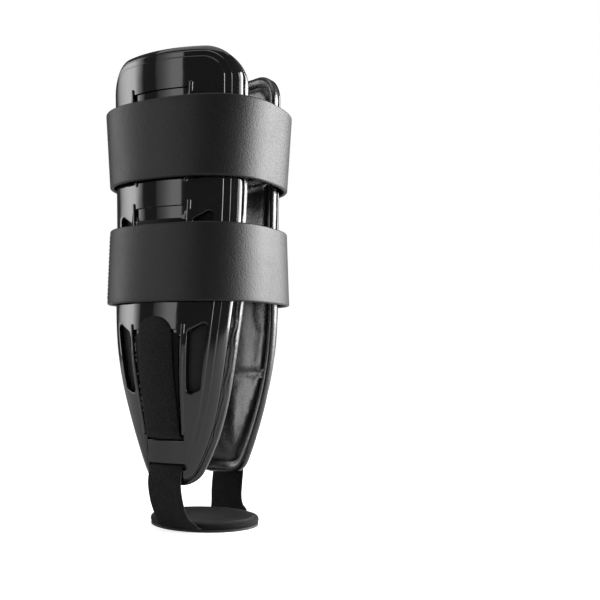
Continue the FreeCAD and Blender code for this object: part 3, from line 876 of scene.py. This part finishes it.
def make_sling():
    inner = float(crown(SLOT_LOW)) - SHELL_THICK - 0.5 * MM - WEB_THICK / 2
    outside = SLING_HIGH.y - WEB_THICK / 2
    foot_z = SLING_LOW.z + WEB_THICK / 2
    half = [(0.0, foot_z), (0.018, foot_z), (PAD_HIGH.y - 1 * MM, foot_z),
            (PAD_HIGH.y + 2.2 * MM, 4.5 * MM),
            (outside - 2.2 * MM, 20 * MM), (outside, 31 * MM), (outside, SLOT_LOW - 2.2 * MM),
            (outside - 1.0 * MM, SLOT_LOW), (inner + 0.6 * MM, SLOT_LOW), (inner, SLOT_LOW + 3 * MM),
            (inner + 0.6 * MM, 0.053)]
    both = [(-y, z) for y, z in half[::-1][:-1]] + half
    line, _ = even_line(cut_corners(both), 0.9 * MM)
    normals = line_normals(line)
    rows = []
    for (y, z), (normal_y, normal_z) in zip(line, normals):
        height = np.array([0, 2, 5, 8, 11, 15, 20, 26, 60]) * MM
        right = np.interp(z, height, np.array([15.4, 15.4, 14.6, 10.8, 9.2, 8.2, 7.7, 7.5, 7.5]) * MM)
        rear_edge = np.array([-14.4, -14.4, -14.6, -15.2, -15.8, -16.7, -17.3, -17.5, -17.5])
        left = np.interp(z, height, rear_edge * MM)
        section = web_section((right - left) / 2, WEB_THICK)
        x = (right + left) / 2 + section[:, 0]
        bow = plan_radius(0.05) - np.sqrt(plan_radius(0.05) ** 2 - (x - SLING_X) ** 2)
        bow = bow * smooth_step(z, 30 * MM, 40 * MM) * np.sign(y)
        rows.append(np.stack([x, y + section[:, 1] * normal_y - bow, z + section[:, 1] * normal_z], axis=1))
    points, faces = skin_rows(np.array(rows))
    piece = add_mesh("heel_strap", points, faces, 70.0)
    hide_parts("heel_strap_sling", "medial_heel_strap_run", "lateral_heel_strap_run")
    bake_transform(piece)
    return piece


sling = make_sling()
print("heel strap:", len(sling.data.polygons), "faces")

# %% [markdown]
# ## The heel pad
# The pad is a thin oval of foam with a shallow dish where the heel sits, bound round its edge
# with the same loop tape as the strap. Both are lofted from rings of an ellipse.

# %% heel pad: dished top, sole and binding
def oval_rows(profile, count=144):
    """Rows round an oval; each profile entry is (share of the oval, height)."""
    turn = np.linspace(0, 2 * math.pi, count, endpoint=False)
    centre_x = (PAD_LOW.x + PAD_HIGH.x) / 2
    long_half, short_half = (PAD_HIGH.x - PAD_LOW.x) / 2, (PAD_HIGH.y - PAD_LOW.y) / 2
    rows = []
    for inset, z in profile:
        rows.append(np.stack([centre_x + (long_half - inset) * np.cos(turn),
                              (short_half - inset) * np.sin(turn), np.full(count, z)], axis=1))
    return np.array(rows)


PAD_TOP, PAD_BOTTOM = PAD_HIGH.z, PAD_LOW.z


def make_pad():
    dish = 1.5 * MM
    profile = [(29.5 * MM, PAD_TOP - dish)]
    for inset in np.linspace(27, 4, 16) * MM:
        share = 1 - inset / (30 * MM)
        profile.append((inset, PAD_TOP - dish * (1 - smooth_step(share, 0.25, 0.86))))
    profile += [(3.2 * MM, PAD_TOP - 0.1 * MM), (2.6 * MM, PAD_TOP - 0.5 * MM),
                (2.2 * MM, PAD_TOP - 1.2 * MM), (2.2 * MM, PAD_BOTTOM + 1.0 * MM),
                (3.0 * MM, PAD_BOTTOM + 0.4 * MM), (29.5 * MM, PAD_BOTTOM + 0.4 * MM)]
    points, faces = skin_rows(oval_rows(profile))
    piece = add_mesh("heel_pad_cushion", points, faces, 60.0)
    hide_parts("heel_pad_foam")
    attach(piece, "heel_stirrup")
    return piece


def make_binding():
    middle = (PAD_TOP + PAD_BOTTOM) / 2 - 0.2 * MM
    half_high = (PAD_TOP - PAD_BOTTOM) / 2 - 0.1 * MM
    profile = []
    for turn in np.linspace(0, 2 * math.pi, 17, endpoint=False):
        profile.append((2.0 * MM - 1.7 * MM * math.cos(turn), middle + half_high * math.sin(turn)))
    rows = oval_rows(profile + profile[:1])
    points, faces = skin_rows(rows, close_ends=False)
    piece = add_mesh("heel_pad_binding", points, faces, 60.0, merge=1e-6)
    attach(piece, "heel_stirrup")
    return piece


heel_pad = make_pad()
binding = make_binding()

# %% [markdown]
# ## Small helpers for node trees
# Shaders and geometry trees are both built from nodes and links, so a few short functions that
# add a node, a sum or a noise serve them all.

# %% node helpers
def new_group(name, inputs, outputs):
    group = bpy.data.node_groups.new(name, "ShaderNodeTree")
    group.interface.new_socket("Place", in_out="INPUT", socket_type="NodeSocketVector")
    for label, value in inputs:
        made = group.interface.new_socket(label, in_out="INPUT", socket_type="NodeSocketFloat")
        made.default_value = value
    for label in outputs:
        group.interface.new_socket(label, in_out="OUTPUT", socket_type="NodeSocketFloat")
    return group, group.nodes.new("NodeGroupInput"), group.nodes.new("NodeGroupOutput")


def add_node(tree, kind, values=None, **settings):
    node = tree.nodes.new(kind)
    for label, value in settings.items():
        setattr(node, label, value)
    for label, value in (values or {}).items():
        node.inputs[label].default_value = value
    return node


def calculate(tree, operation, a, b=None, c=None, clamp=False):
    node = add_node(tree, "ShaderNodeMath", operation=operation, use_clamp=clamp)
    for index, value in enumerate((a, b, c)):
        if value is None:
            continue
        if isinstance(value, (int, float)):
            node.inputs[index].default_value = value
        else:
            tree.links.new(value, node.inputs[index])
    return node.outputs[0]


def noise(tree, place, scale, detail=2.0, rough=0.5):
    node = add_node(tree, "ShaderNodeTexNoise", {"Detail": detail, "Roughness": rough})
    tree.links.new(place, node.inputs["Vector"])
    if isinstance(scale, (int, float)):
        node.inputs["Scale"].default_value = scale
    else:
        tree.links.new(scale, node.inputs["Scale"])
    return node.outputs["Fac"]


# %% [markdown]
# ## Stitches
# A seam is the same short stitch again and again, so one Geometry Nodes tree sews every seam:
# it walks a path in even steps, lays a slim capsule of thread along the path at each step, turns
# it a little at random from a fixed seed, and joins them all. The result is kept as plain mesh,
# one object for each seam, so that each seam can move with its own body.

# %% the sewing tree
THREAD = bpy.data.materials.new("thread")
STITCH_SPACING = 2.6 * MM
STITCH_LENGTH = 1.9 * MM
THREAD_RADIUS = 0.22 * MM


def sewing_tree():
    tree = bpy.data.node_groups.new("sewing", "GeometryNodeTree")
    face = tree.interface
    face.new_socket("Geometry", in_out="INPUT", socket_type="NodeSocketGeometry")
    for label, value in (("Spacing", STITCH_SPACING), ("Stitch Length", STITCH_LENGTH),
                         ("Thread Radius", THREAD_RADIUS)):
        face.new_socket(label, in_out="INPUT", socket_type="NodeSocketFloat").default_value = value
    face.new_socket("Thread", in_out="INPUT", socket_type="NodeSocketMaterial")
    face.new_socket("Geometry", in_out="OUTPUT", socket_type="NodeSocketGeometry")
    entry, leave = tree.nodes.new("NodeGroupInput"), tree.nodes.new("NodeGroupOutput")
    link = tree.links.new
    path = tree.nodes.new("GeometryNodeMeshToCurve")
    link(entry.outputs["Geometry"], path.inputs["Mesh"])
    steps = add_node(tree, "GeometryNodeResampleCurve", mode="LENGTH")
    link(path.outputs["Curve"], steps.inputs["Curve"])
    link(entry.outputs["Spacing"], steps.inputs["Length"])
    ball = add_node(tree, "GeometryNodeMeshUVSphere", {"Segments": 8, "Rings": 6, "Radius": 1.0})
    turn = add_node(tree, "FunctionNodeAlignRotationToVector", axis="Z")
    link(tree.nodes.new("GeometryNodeInputTangent").outputs["Tangent"], turn.inputs["Vector"])
    skew = add_node(tree, "FunctionNodeRandomValue", {"Seed": 7}, data_type="FLOAT_VECTOR")
    skew.inputs[0].default_value, skew.inputs[1].default_value = (-0.12, -0.12, 0), (0.12, 0.12, 0)
    tilt = add_node(tree, "FunctionNodeRotateRotation", rotation_space="LOCAL")
    link(turn.outputs["Rotation"], tilt.inputs["Rotation"])
    link(skew.outputs["Value"], tilt.inputs["Rotate By"])
    size = tree.nodes.new("ShaderNodeCombineXYZ")
    half = calculate(tree, "MULTIPLY", entry.outputs["Stitch Length"], 0.5)
    thin = entry.outputs["Thread Radius"]
    for label, source in (("X", thin), ("Y", thin), ("Z", half)):
        link(source, size.inputs[label])
    lay = tree.nodes.new("GeometryNodeInstanceOnPoints")
    link(steps.outputs["Curve"], lay.inputs["Points"])
    link(ball.outputs["Mesh"], lay.inputs["Instance"])
    link(tilt.outputs["Rotation"], lay.inputs["Rotation"])
    link(size.outputs["Vector"], lay.inputs["Scale"])
    joined = tree.nodes.new("GeometryNodeRealizeInstances")
    link(lay.outputs["Instances"], joined.inputs["Geometry"])
    dressed = tree.nodes.new("GeometryNodeSetMaterial")
    link(joined.outputs["Geometry"], dressed.inputs["Geometry"])
    link(entry.outputs["Thread"], dressed.inputs["Material"])
    link(dressed.outputs["Geometry"], leave.inputs["Geometry"])
    return tree


# %% [markdown]
# To sew, the path is put through the tree, the result is kept as mesh, and the path is removed.

# %% sewing a seam
SEWING = sewing_tree()


def sew(name, path, body, closed=False):
    """Stitches along a path of points, as one plain mesh that rides on a body."""
    count = len(path)
    lines = [(i, (i + 1) % count) for i in range(count if closed else count - 1)]
    mesh = bpy.data.meshes.new(name + "_path")
    mesh.from_pydata([tuple(point) for point in path], lines, [])
    seam = bpy.data.objects.new(name + "_path", mesh)
    bpy.context.scene.collection.objects.link(seam)
    worker = seam.modifiers.new("sewing", "NODES")
    worker.node_group = SEWING
    settings = {"Spacing": STITCH_SPACING, "Stitch Length": STITCH_LENGTH,
                "Thread Radius": THREAD_RADIUS, "Thread": THREAD}
    for socket in SEWING.interface.items_tree:
        if socket.in_out == "INPUT" and socket.name in settings:
            worker[socket.identifier] = settings[socket.name]
    seam.update_tag()
    shown = seam.evaluated_get(bpy.context.evaluated_depsgraph_get())
    made = bpy.data.meshes.new_from_object(shown)
    made.name = name
    seam.modifiers.clear()
    bpy.data.objects.remove(seam)
    made.shade_smooth()
    piece = bpy.data.objects.new(name, made)
    bpy.context.scene.collection.objects.link(piece)
    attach(piece, body)
    return piece


# %% [markdown]
# The heel pad's binding is sewn down all round, each wide strap is sewn in two rows where its
# rear arm joins, and the hook pad is sewn in a box on the inside of the front arm's end, which
# shows as a box of stitches on its outside.

# %% the seams
PAD_SEAM_INSET = 4.4 * MM
PAD_SEAM_POINTS = 120
REAR_SEAMS_X = (-46.5 * MM, -43.5 * MM)
BOX_SEAM_X = (-16.5 * MM, 7 * MM)
SEAM_FROM_EDGE = 5 * MM
SEAM_SINK = -0.05 * MM
turn = np.linspace(0, 2 * math.pi, PAD_SEAM_POINTS, endpoint=False)
pad_x = (PAD_LOW.x + PAD_HIGH.x) / 2
rim_path = np.stack([pad_x + ((PAD_HIGH.x - PAD_LOW.x) / 2 - PAD_SEAM_INSET) * np.cos(turn),
                     ((PAD_HIGH.y - PAD_LOW.y) / 2 - PAD_SEAM_INSET) * np.sin(turn),
                     np.full(PAD_SEAM_POINTS, PAD_TOP - SEAM_SINK)], axis=1)
seams = [sew("heel_pad_seam", rim_path, "heel_stirrup", True)]
for strap_name, strap in STRAPS.items():
    low, high = strap["low"] + SEAM_FROM_EDGE, strap["high"] - SEAM_FROM_EDGE
    tall = np.linspace(low, high, 20)
    for row, x in enumerate(REAR_SEAMS_X):
        path = ring_point(strap, np.full(20, angle_at(strap, x, -1)), tall, SEAM_SINK)
        seams.append(sew(strap_name + "_rear_seam_" + str(row), path, "cuff"))
    ends = [angle_at(strap, x, 1) for x in BOX_SEAM_X]
    along = np.linspace(*ends, 16)
    corners = [(ends[0], z) for z in tall] + [(a, high) for a in along[1:-1]]
    corners += [(ends[1], z) for z in tall[::-1]] + [(a, low) for a in along[::-1][1:-1]]
    around = np.array(corners)
    path = ring_point(strap, around[:, 0], around[:, 1], SEAM_SINK, ARM_SWELL)
    seams.append(sew(strap_name + "_hook_pad_seam", path, strap_name + "_front_arm", True))
print("stitched seams:", len(seams), "with", sum(len(seam.data.polygons) for seam in seams), "faces")

# %% [markdown]
# ## Finishes
# Small effects that several finishes share are node groups: a leather-like grain, a loop pile,
# and a faint unevenness of gloss from handling. Each finish then places the groups it needs with
# its own sizes. The shader stays in the finish itself.

# %% shared effect: leather-like grain
def grain_group():
    group, entry, leave = new_group("leather_grain", [("Scale", 900.0)], ["Height"])
    cells = add_node(group, "ShaderNodeTexVoronoi", feature="SMOOTH_F1")
    cells.inputs["Smoothness"].default_value = 0.6
    group.links.new(entry.outputs["Place"], cells.inputs["Vector"])
    group.links.new(entry.outputs["Scale"], cells.inputs["Scale"])
    finer = calculate(group, "MULTIPLY", entry.outputs["Scale"], 1.7)
    fine = noise(group, entry.outputs["Place"], finer, 3.0)
    pebble = calculate(group, "SUBTRACT", 1.0, calculate(group, "MULTIPLY", cells.outputs["Distance"], 0.9))
    group.links.new(calculate(group, "MULTIPLY_ADD", fine, 0.6, pebble), leave.inputs["Height"])
    return group


# %% [markdown]
# Loop pile is a crowd of tiny loops, with pale tips where they catch light.

# %% shared effect: loop pile
def pile_group():
    group, entry, leave = new_group("loop_pile", [("Scale", 1500.0)], ["Height", "Tips"])
    cells = add_node(group, "ShaderNodeTexVoronoi", feature="F1")
    group.links.new(entry.outputs["Place"], cells.inputs["Vector"])
    group.links.new(entry.outputs["Scale"], cells.inputs["Scale"])
    fine = noise(group, entry.outputs["Place"], entry.outputs["Scale"], 4.0, 0.7)
    curl = calculate(group, "SUBTRACT", 1.0, cells.outputs["Distance"])
    height = calculate(group, "MULTIPLY_ADD", fine, 1.2, curl)
    group.links.new(height, leave.inputs["Height"])
    tips = calculate(group, "MULTIPLY", calculate(group, "SUBTRACT", fine, 0.52), 7.0, clamp=True)
    group.links.new(calculate(group, "MULTIPLY", tips, curl), leave.inputs["Tips"])
    return group


# %% [markdown]
# Handled plastic isn't evenly glossy, so the roughness drifts a little from place to place.

# %% shared effect: unevenness of gloss from handling
def handling_group():
    group, entry, leave = new_group("handling", [("Scale", 30.0), ("Amount", 0.05)], ["Roughness Added"])
    broad = noise(group, entry.outputs["Place"], entry.outputs["Scale"], 4.0, 0.6)
    finer = calculate(group, "MULTIPLY", entry.outputs["Scale"], 14.0)
    fine = noise(group, entry.outputs["Place"], finer, 3.0, 0.6)
    mixed = calculate(group, "MULTIPLY", broad, fine)
    scaled = calculate(group, "MULTIPLY", mixed, entry.outputs["Amount"])
    group.links.new(scaled, leave.inputs["Roughness Added"])
    return group


GRAIN, PILE, HANDLING = grain_group(), pile_group(), handling_group()


# %% [markdown]
# Every finish starts from the same shader, with its own colour, roughness and coordinates.

# %% base of every finish
def new_finish(name, colour, roughness, **sockets):
    """Material with a Principled shader; returns its tree, shader and object coordinates."""
    material = bpy.data.materials.new(name)
    material.use_nodes = True
    tree = material.node_tree
    shader = tree.nodes["Principled BSDF"]
    shader.inputs["Base Color"].default_value = (*colour, 1)
    shader.inputs["Roughness"].default_value = roughness
    for label, value in sockets.items():
        shader.inputs[label.replace("_", " ")].default_value = value
    place = tree.nodes.new("ShaderNodeTexCoord").outputs["Object"]
    return material, tree, shader, place


def place_group(tree, group, place, **values):
    node = tree.nodes.new("ShaderNodeGroup")
    node.node_tree = group
    tree.links.new(place, node.inputs["Place"])
    for label, value in values.items():
        node.inputs[label].default_value = value
    return node


def add_bump(tree, shader, height, distance, strength=1.0):
    bump = add_node(tree, "ShaderNodeBump", {"Distance": distance, "Strength": strength})
    tree.links.new(height, bump.inputs["Height"])
    tree.links.new(bump.outputs["Normal"], shader.inputs["Normal"])
    return bump


def mix_colours(tree, share, dark, light):
    ramp = add_node(tree, "ShaderNodeMix", data_type="RGBA")
    ramp.inputs["A"].default_value = (*dark, 1)
    ramp.inputs["B"].default_value = (*light, 1)
    tree.links.new(share, ramp.inputs["Factor"])
    return ramp.outputs["Result"]


# %% [markdown]
# The shell is a glossy black moulding. A very faint waviness bends its reflections a little, as
# on any moulded part, and handling makes its gloss slightly uneven.

# %% finish: glossy moulded black
def shell_finish():
    material, tree, shader, place = new_finish("moulded_black_gloss", (0.004, 0.004, 0.004),
                                               0.06, IOR=1.5)
    handled = place_group(tree, HANDLING, place, Scale=24.0, Amount=0.16)
    tree.links.new(calculate(tree, "ADD", handled.outputs[0], 0.03), shader.inputs["Roughness"])
    wave = noise(tree, place, 60.0, 1.0)
    add_bump(tree, shader, wave, 0.00012)
    tint = noise(tree, place, 35.0, 2.0)
    tree.links.new(mix_colours(tree, tint, (0.003, 0.003, 0.0032), (0.005, 0.005, 0.0052)),
                   shader.inputs["Base Color"])
    return material


# %% [markdown]
# The wide straps have a matt dark-grey skin embossed with a fine leather-like grain. Seen along
# the surface it shines softly, so it has a little sheen and a middling roughness.

# %% finish: grained strap skin
def strap_finish():
    material, tree, shader, place = new_finish("grained_strap_skin", (0.003, 0.003, 0.003), 0.5,
                                               Specular_IOR_Level=0.3)
    grain = place_group(tree, GRAIN, place, Scale=850.0)
    broad = noise(tree, place, 220.0, 3.0)
    height = calculate(tree, "MULTIPLY_ADD", broad, 0.8, grain.outputs["Height"])
    add_bump(tree, shader, height, 0.00012, 0.8)
    handled = place_group(tree, HANDLING, place, Scale=40.0, Amount=0.25)
    tree.links.new(calculate(tree, "ADD", handled.outputs[0], 0.42), shader.inputs["Roughness"])
    tint = noise(tree, place, 60.0, 3.0)
    tree.links.new(mix_colours(tree, tint, (0.0025, 0.0025, 0.0025), (0.004, 0.004, 0.004)),
                   shader.inputs["Base Color"])
    return material


# %% [markdown]
# Loop webbing is a pile of tiny loops. Their tips catch the light and speckle the black.

# %% finish: loop webbing
def webbing_finish():
    material, tree, shader, place = new_finish("loop_webbing", (0.006, 0.006, 0.006), 0.85,
                                               Specular_IOR_Level=0.15)
    pile = place_group(tree, PILE, place, Scale=1300.0)
    tree.links.new(mix_colours(tree, pile.outputs["Tips"], (0.003, 0.003, 0.003), (0.035, 0.035, 0.035)),
                   shader.inputs["Base Color"])
    shader.inputs["Sheen Weight"].default_value = 0.03
    shader.inputs["Sheen Roughness"].default_value = 0.5
    add_bump(tree, shader, pile.outputs["Height"], 0.0004)
    return material


# %% [markdown]
# The lining is brushed cloth, the cushion a thin welded skin, and the hook tape a stubby pile.

# %% finish: brushed lining, cushion skin, hook tape
def lining_finish():
    material, tree, shader, place = new_finish("brushed_lining", (0.02, 0.02, 0.021), 0.8,
                                               Specular_IOR_Level=0.2)
    pile = place_group(tree, PILE, place, Scale=2600.0)
    cloudy = noise(tree, place, 130.0, 3.0)
    share = calculate(tree, "MULTIPLY_ADD", pile.outputs["Tips"], 0.4, calculate(tree, "MULTIPLY", cloudy, 0.5))
    tree.links.new(mix_colours(tree, share, (0.010, 0.010, 0.011), (0.030, 0.030, 0.031)),
                   shader.inputs["Base Color"])
    add_bump(tree, shader, pile.outputs["Height"], 0.00015)
    return material


def cushion_finish():
    material, tree, shader, place = new_finish("cushion_skin", (0.008, 0.008, 0.009), 0.22, IOR=1.5)
    grain = place_group(tree, GRAIN, place, Scale=1400.0)
    creases = noise(tree, place, 90.0, 3.0)
    height = calculate(tree, "MULTIPLY_ADD", creases, 6.0, grain.outputs["Height"])
    add_bump(tree, shader, height, 0.00008)
    handled = place_group(tree, HANDLING, place, Scale=50.0, Amount=0.3)
    tree.links.new(calculate(tree, "ADD", handled.outputs[0], 0.16), shader.inputs["Roughness"])
    return material


def hook_finish():
    material, tree, shader, place = new_finish("hook_tape", (0.006, 0.006, 0.006), 0.6,
                                               Specular_IOR_Level=0.1)
    cells = add_node(tree, "ShaderNodeTexVoronoi", feature="F1")
    cells.inputs["Scale"].default_value = 900.0
    cells.inputs["Randomness"].default_value = 0.15
    tree.links.new(place, cells.inputs["Vector"])
    stubs = calculate(tree, "LESS_THAN", cells.outputs["Distance"], 0.33)
    tree.links.new(mix_colours(tree, stubs, (0.0015, 0.0015, 0.0015), (0.006, 0.006, 0.006)),
                   shader.inputs["Base Color"])
    add_bump(tree, shader, stubs, 0.0003)
    return material


# %% [markdown]
# The heel pad is cloth over foam, bound at the rim, and its sole is plain rubber.

# %% finish: heel pad and sole
def pad_finish():
    material, tree, shader, place = new_finish("heel_pad_cloth", (0.010, 0.010, 0.0105), 0.6,
                                               Specular_IOR_Level=0.3)
    pile = place_group(tree, PILE, place, Scale=3000.0)
    tree.links.new(mix_colours(tree, pile.outputs["Tips"], (0.006, 0.006, 0.0063), (0.014, 0.014, 0.0145)),
                   shader.inputs["Base Color"])
    add_bump(tree, shader, pile.outputs["Height"], 0.0001)
    return material


def sole_finish():
    material, tree, shader, place = new_finish("sole_rubber", (0.012, 0.012, 0.012), 0.7, IOR=1.5)
    grain = place_group(tree, GRAIN, place, Scale=1200.0)
    add_bump(tree, shader, grain.outputs["Height"], 0.0001)
    tint = noise(tree, place, 80.0, 3.0)
    tree.links.new(mix_colours(tree, tint, (0.010, 0.010, 0.010), (0.018, 0.018, 0.018)),
                   shader.inputs["Base Color"])
    return material


def thread_finish():
    """Waxed thread: dark, with a fine twist along it."""
    THREAD.use_nodes = True
    tree = THREAD.node_tree
    shader = tree.nodes["Principled BSDF"]
    shader.inputs["Roughness"].default_value = 0.5
    place = tree.nodes.new("ShaderNodeTexCoord").outputs["Object"]
    twist = noise(tree, place, 4000.0, 2.0)
    tree.links.new(mix_colours(tree, twist, (0.012, 0.012, 0.012), (0.04, 0.04, 0.04)),
                   shader.inputs["Base Color"])
    add_bump(tree, shader, twist, 0.0001)


thread_finish()
FINISH = {
    "shell": shell_finish(), "strap": strap_finish(), "webbing": webbing_finish(),
    "lining": lining_finish(), "cushion": cushion_finish(), "hook": hook_finish(),
    "pad": pad_finish(), "sole": sole_finish(),
}


def dress(pieces, finish):
    for piece in pieces:
        piece.data.materials.clear()
        piece.data.materials.append(FINISH[finish])


dress(shells.values(), "shell")
dress(backings.values(), "lining")
dress(cushions.values(), "cushion")
dress(wide_straps, "strap")
dress(tongues + tabs + [sling, binding], "webbing")
dress([heel_pad], "pad")

# %% [markdown]
# The hook tapes and the sole already have their right shape in the CAD model, so those nodes
# stay and only get their finish.

# %% finishes for the CAD nodes that stay
for node_name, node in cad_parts.items():
    kept = "hook" if "hook" in node_name else "sole" if "sole" in node_name else None
    if kept:
        node.data.materials.clear()
        node.data.materials.append(FINISH[kept])

# %% [markdown]
# ## Floor, light and camera
# A pale floor and a white surround, as in a product studio. Black gloss is lit by what it
# mirrors: a tall soft panel on the left draws the broad grey reflection, a dimmer one in front
# fills the face, and a strong one behind on the right draws the bright line along the rim.
# The floor looks white to the camera and stays dim in reflections, so the gloss stays deep.

# %% floor and surround
floor_mesh = bpy.data.meshes.new("studio_floor")
floor_mesh.from_pydata([(-30, -30, 0), (30, -30, 0), (30, 30, 0), (-30, 30, 0)], [], [(0, 1, 2, 3)])
floor = bpy.data.objects.new("studio_floor", floor_mesh)
bpy.context.scene.collection.objects.link(floor)
floor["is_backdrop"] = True
floor_finish = bpy.data.materials.new("pale_floor")
floor_finish.use_nodes = True
tree = floor_finish.node_tree
pale = tree.nodes["Principled BSDF"]
pale.inputs["Roughness"].default_value = 0.9
tint = noise(tree, tree.nodes.new("ShaderNodeTexCoord").outputs["Object"], 3.0)
tree.links.new(mix_colours(tree, tint, (0.60, 0.60, 0.60), (0.64, 0.64, 0.64)), pale.inputs["Base Color"])
pale.inputs["Emission Color"].default_value = (1, 1, 1, 1)
seen = tree.nodes.new("ShaderNodeLightPath").outputs["Is Camera Ray"]
away = add_node(tree, "ShaderNodeVectorMath", operation="LENGTH")
tree.links.new(tree.nodes.new("ShaderNodeTexCoord").outputs["Object"], away.inputs[0])
outward = calculate(tree, "MULTIPLY", away.outputs["Value"], 0.8, clamp=True)
glow = calculate(tree, "MULTIPLY_ADD", outward, 0.4, 0.65)
tree.links.new(calculate(tree, "MULTIPLY", seen, glow), pale.inputs["Emission Strength"])
floor_mesh.materials.append(floor_finish)

world = bpy.data.worlds.new("studio")
world.use_nodes = True
bpy.context.scene.world = world
tree = world.node_tree
seen = tree.nodes.new("ShaderNodeLightPath").outputs["Is Camera Ray"]
surround = calculate(tree, "MULTIPLY_ADD", seen, 0.85, 0.15)
tree.links.new(surround, tree.nodes["Background"].inputs["Strength"])
tree.nodes["Background"].inputs["Color"].default_value = (1, 1, 1, 1)
bpy.context.scene.view_settings.view_transform = "Standard"


# %% [markdown]
# Large soft panels stand left, in front, behind and above. All but the top one are shaded across
# their width, so their reflections in the shell fade as they do in a studio.

# %% lights
MIDDLE = Vector((LEG_X, -0.03, 0.16))


def add_panel(name, azimuth, distance, height, size, radiance):
    """Soft panel seen from the shell at an azimuth in degrees, with a given radiance."""
    light = bpy.data.lights.new(name, "AREA")
    light.shape = "RECTANGLE"
    light.size, light.size_y = size
    light.energy = radiance * math.pi * size[0] * size[1]
    panel = bpy.data.objects.new(name, light)
    turn = math.radians(azimuth)
    panel.location = MIDDLE + Vector((math.cos(turn) * distance, math.sin(turn) * distance, height))
    panel.rotation_euler = (MIDDLE - panel.location).to_track_quat("-Z", "Y").to_euler()
    bpy.context.scene.collection.objects.link(panel)
    return light


def shade_panel(light, stops):
    """Brightness along the panel's width: stops of (place, share)."""
    light.use_nodes = True
    tree = light.node_tree
    across = tree.nodes.new("ShaderNodeSeparateXYZ")
    tree.links.new(tree.nodes.new("ShaderNodeTexCoord").outputs["UV"], across.inputs[0])
    ramp = tree.nodes.new("ShaderNodeValToRGB")
    elements = ramp.color_ramp.elements
    while len(elements) < len(stops):
        elements.new(0.5)
    for element, (place, share) in zip(elements, stops):
        element.position = place
        element.color = (share, share, share, 1)
    tree.links.new(across.outputs["X"], ramp.inputs["Fac"])
    tree.links.new(ramp.outputs["Color"], tree.nodes["Emission"].inputs["Color"])


left = add_panel("left_panel", 195, 1.2, 0.35, (0.90, 1.0), 6.0)
shade_panel(left, [(0.0, 0.05), (0.15, 0.35), (0.5, 0.9), (0.7, 1.0), (0.85, 0.4), (1.0, 0.03)])
front = add_panel("front_panel", 246, 1.2, 0.1, (0.60, 1.0), 2.8)
shade_panel(front, [(0.0, 0.1), (0.3, 0.4), (0.65, 0.95), (1.0, 1.0)])
back = add_panel("back_panel", 37, 1.3, 0.2, (1.55, 1.2), 20.0)
shade_panel(back, [(0.0, 0.5), (0.25, 0.8), (0.5, 1.0), (0.85, 0.9), (1.0, 0.2)])
top = add_panel("top_panel", 250, 0.2, 1.6, (1.6, 1.6), 1.6)

# %% [markdown]
# The camera stands level, a little in front of the side, and its lens is shifted up to frame it.

# %% camera
camera_data = bpy.data.cameras.new("camera")
camera_data.lens = 50
camera_data.sensor_width = 36
camera = bpy.data.objects.new("camera", camera_data)
camera.location = (0.3020, -0.4766, 0.1144)
camera.rotation_euler = (math.radians(90), 0, math.radians(25.82))
camera_data.shift_y = 0.088
bpy.context.scene.collection.objects.link(camera)
bpy.context.scene.camera = camera

# %% [markdown]
# Last, the bounds of what was made are measured.

# %% sizes and finish
low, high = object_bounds()
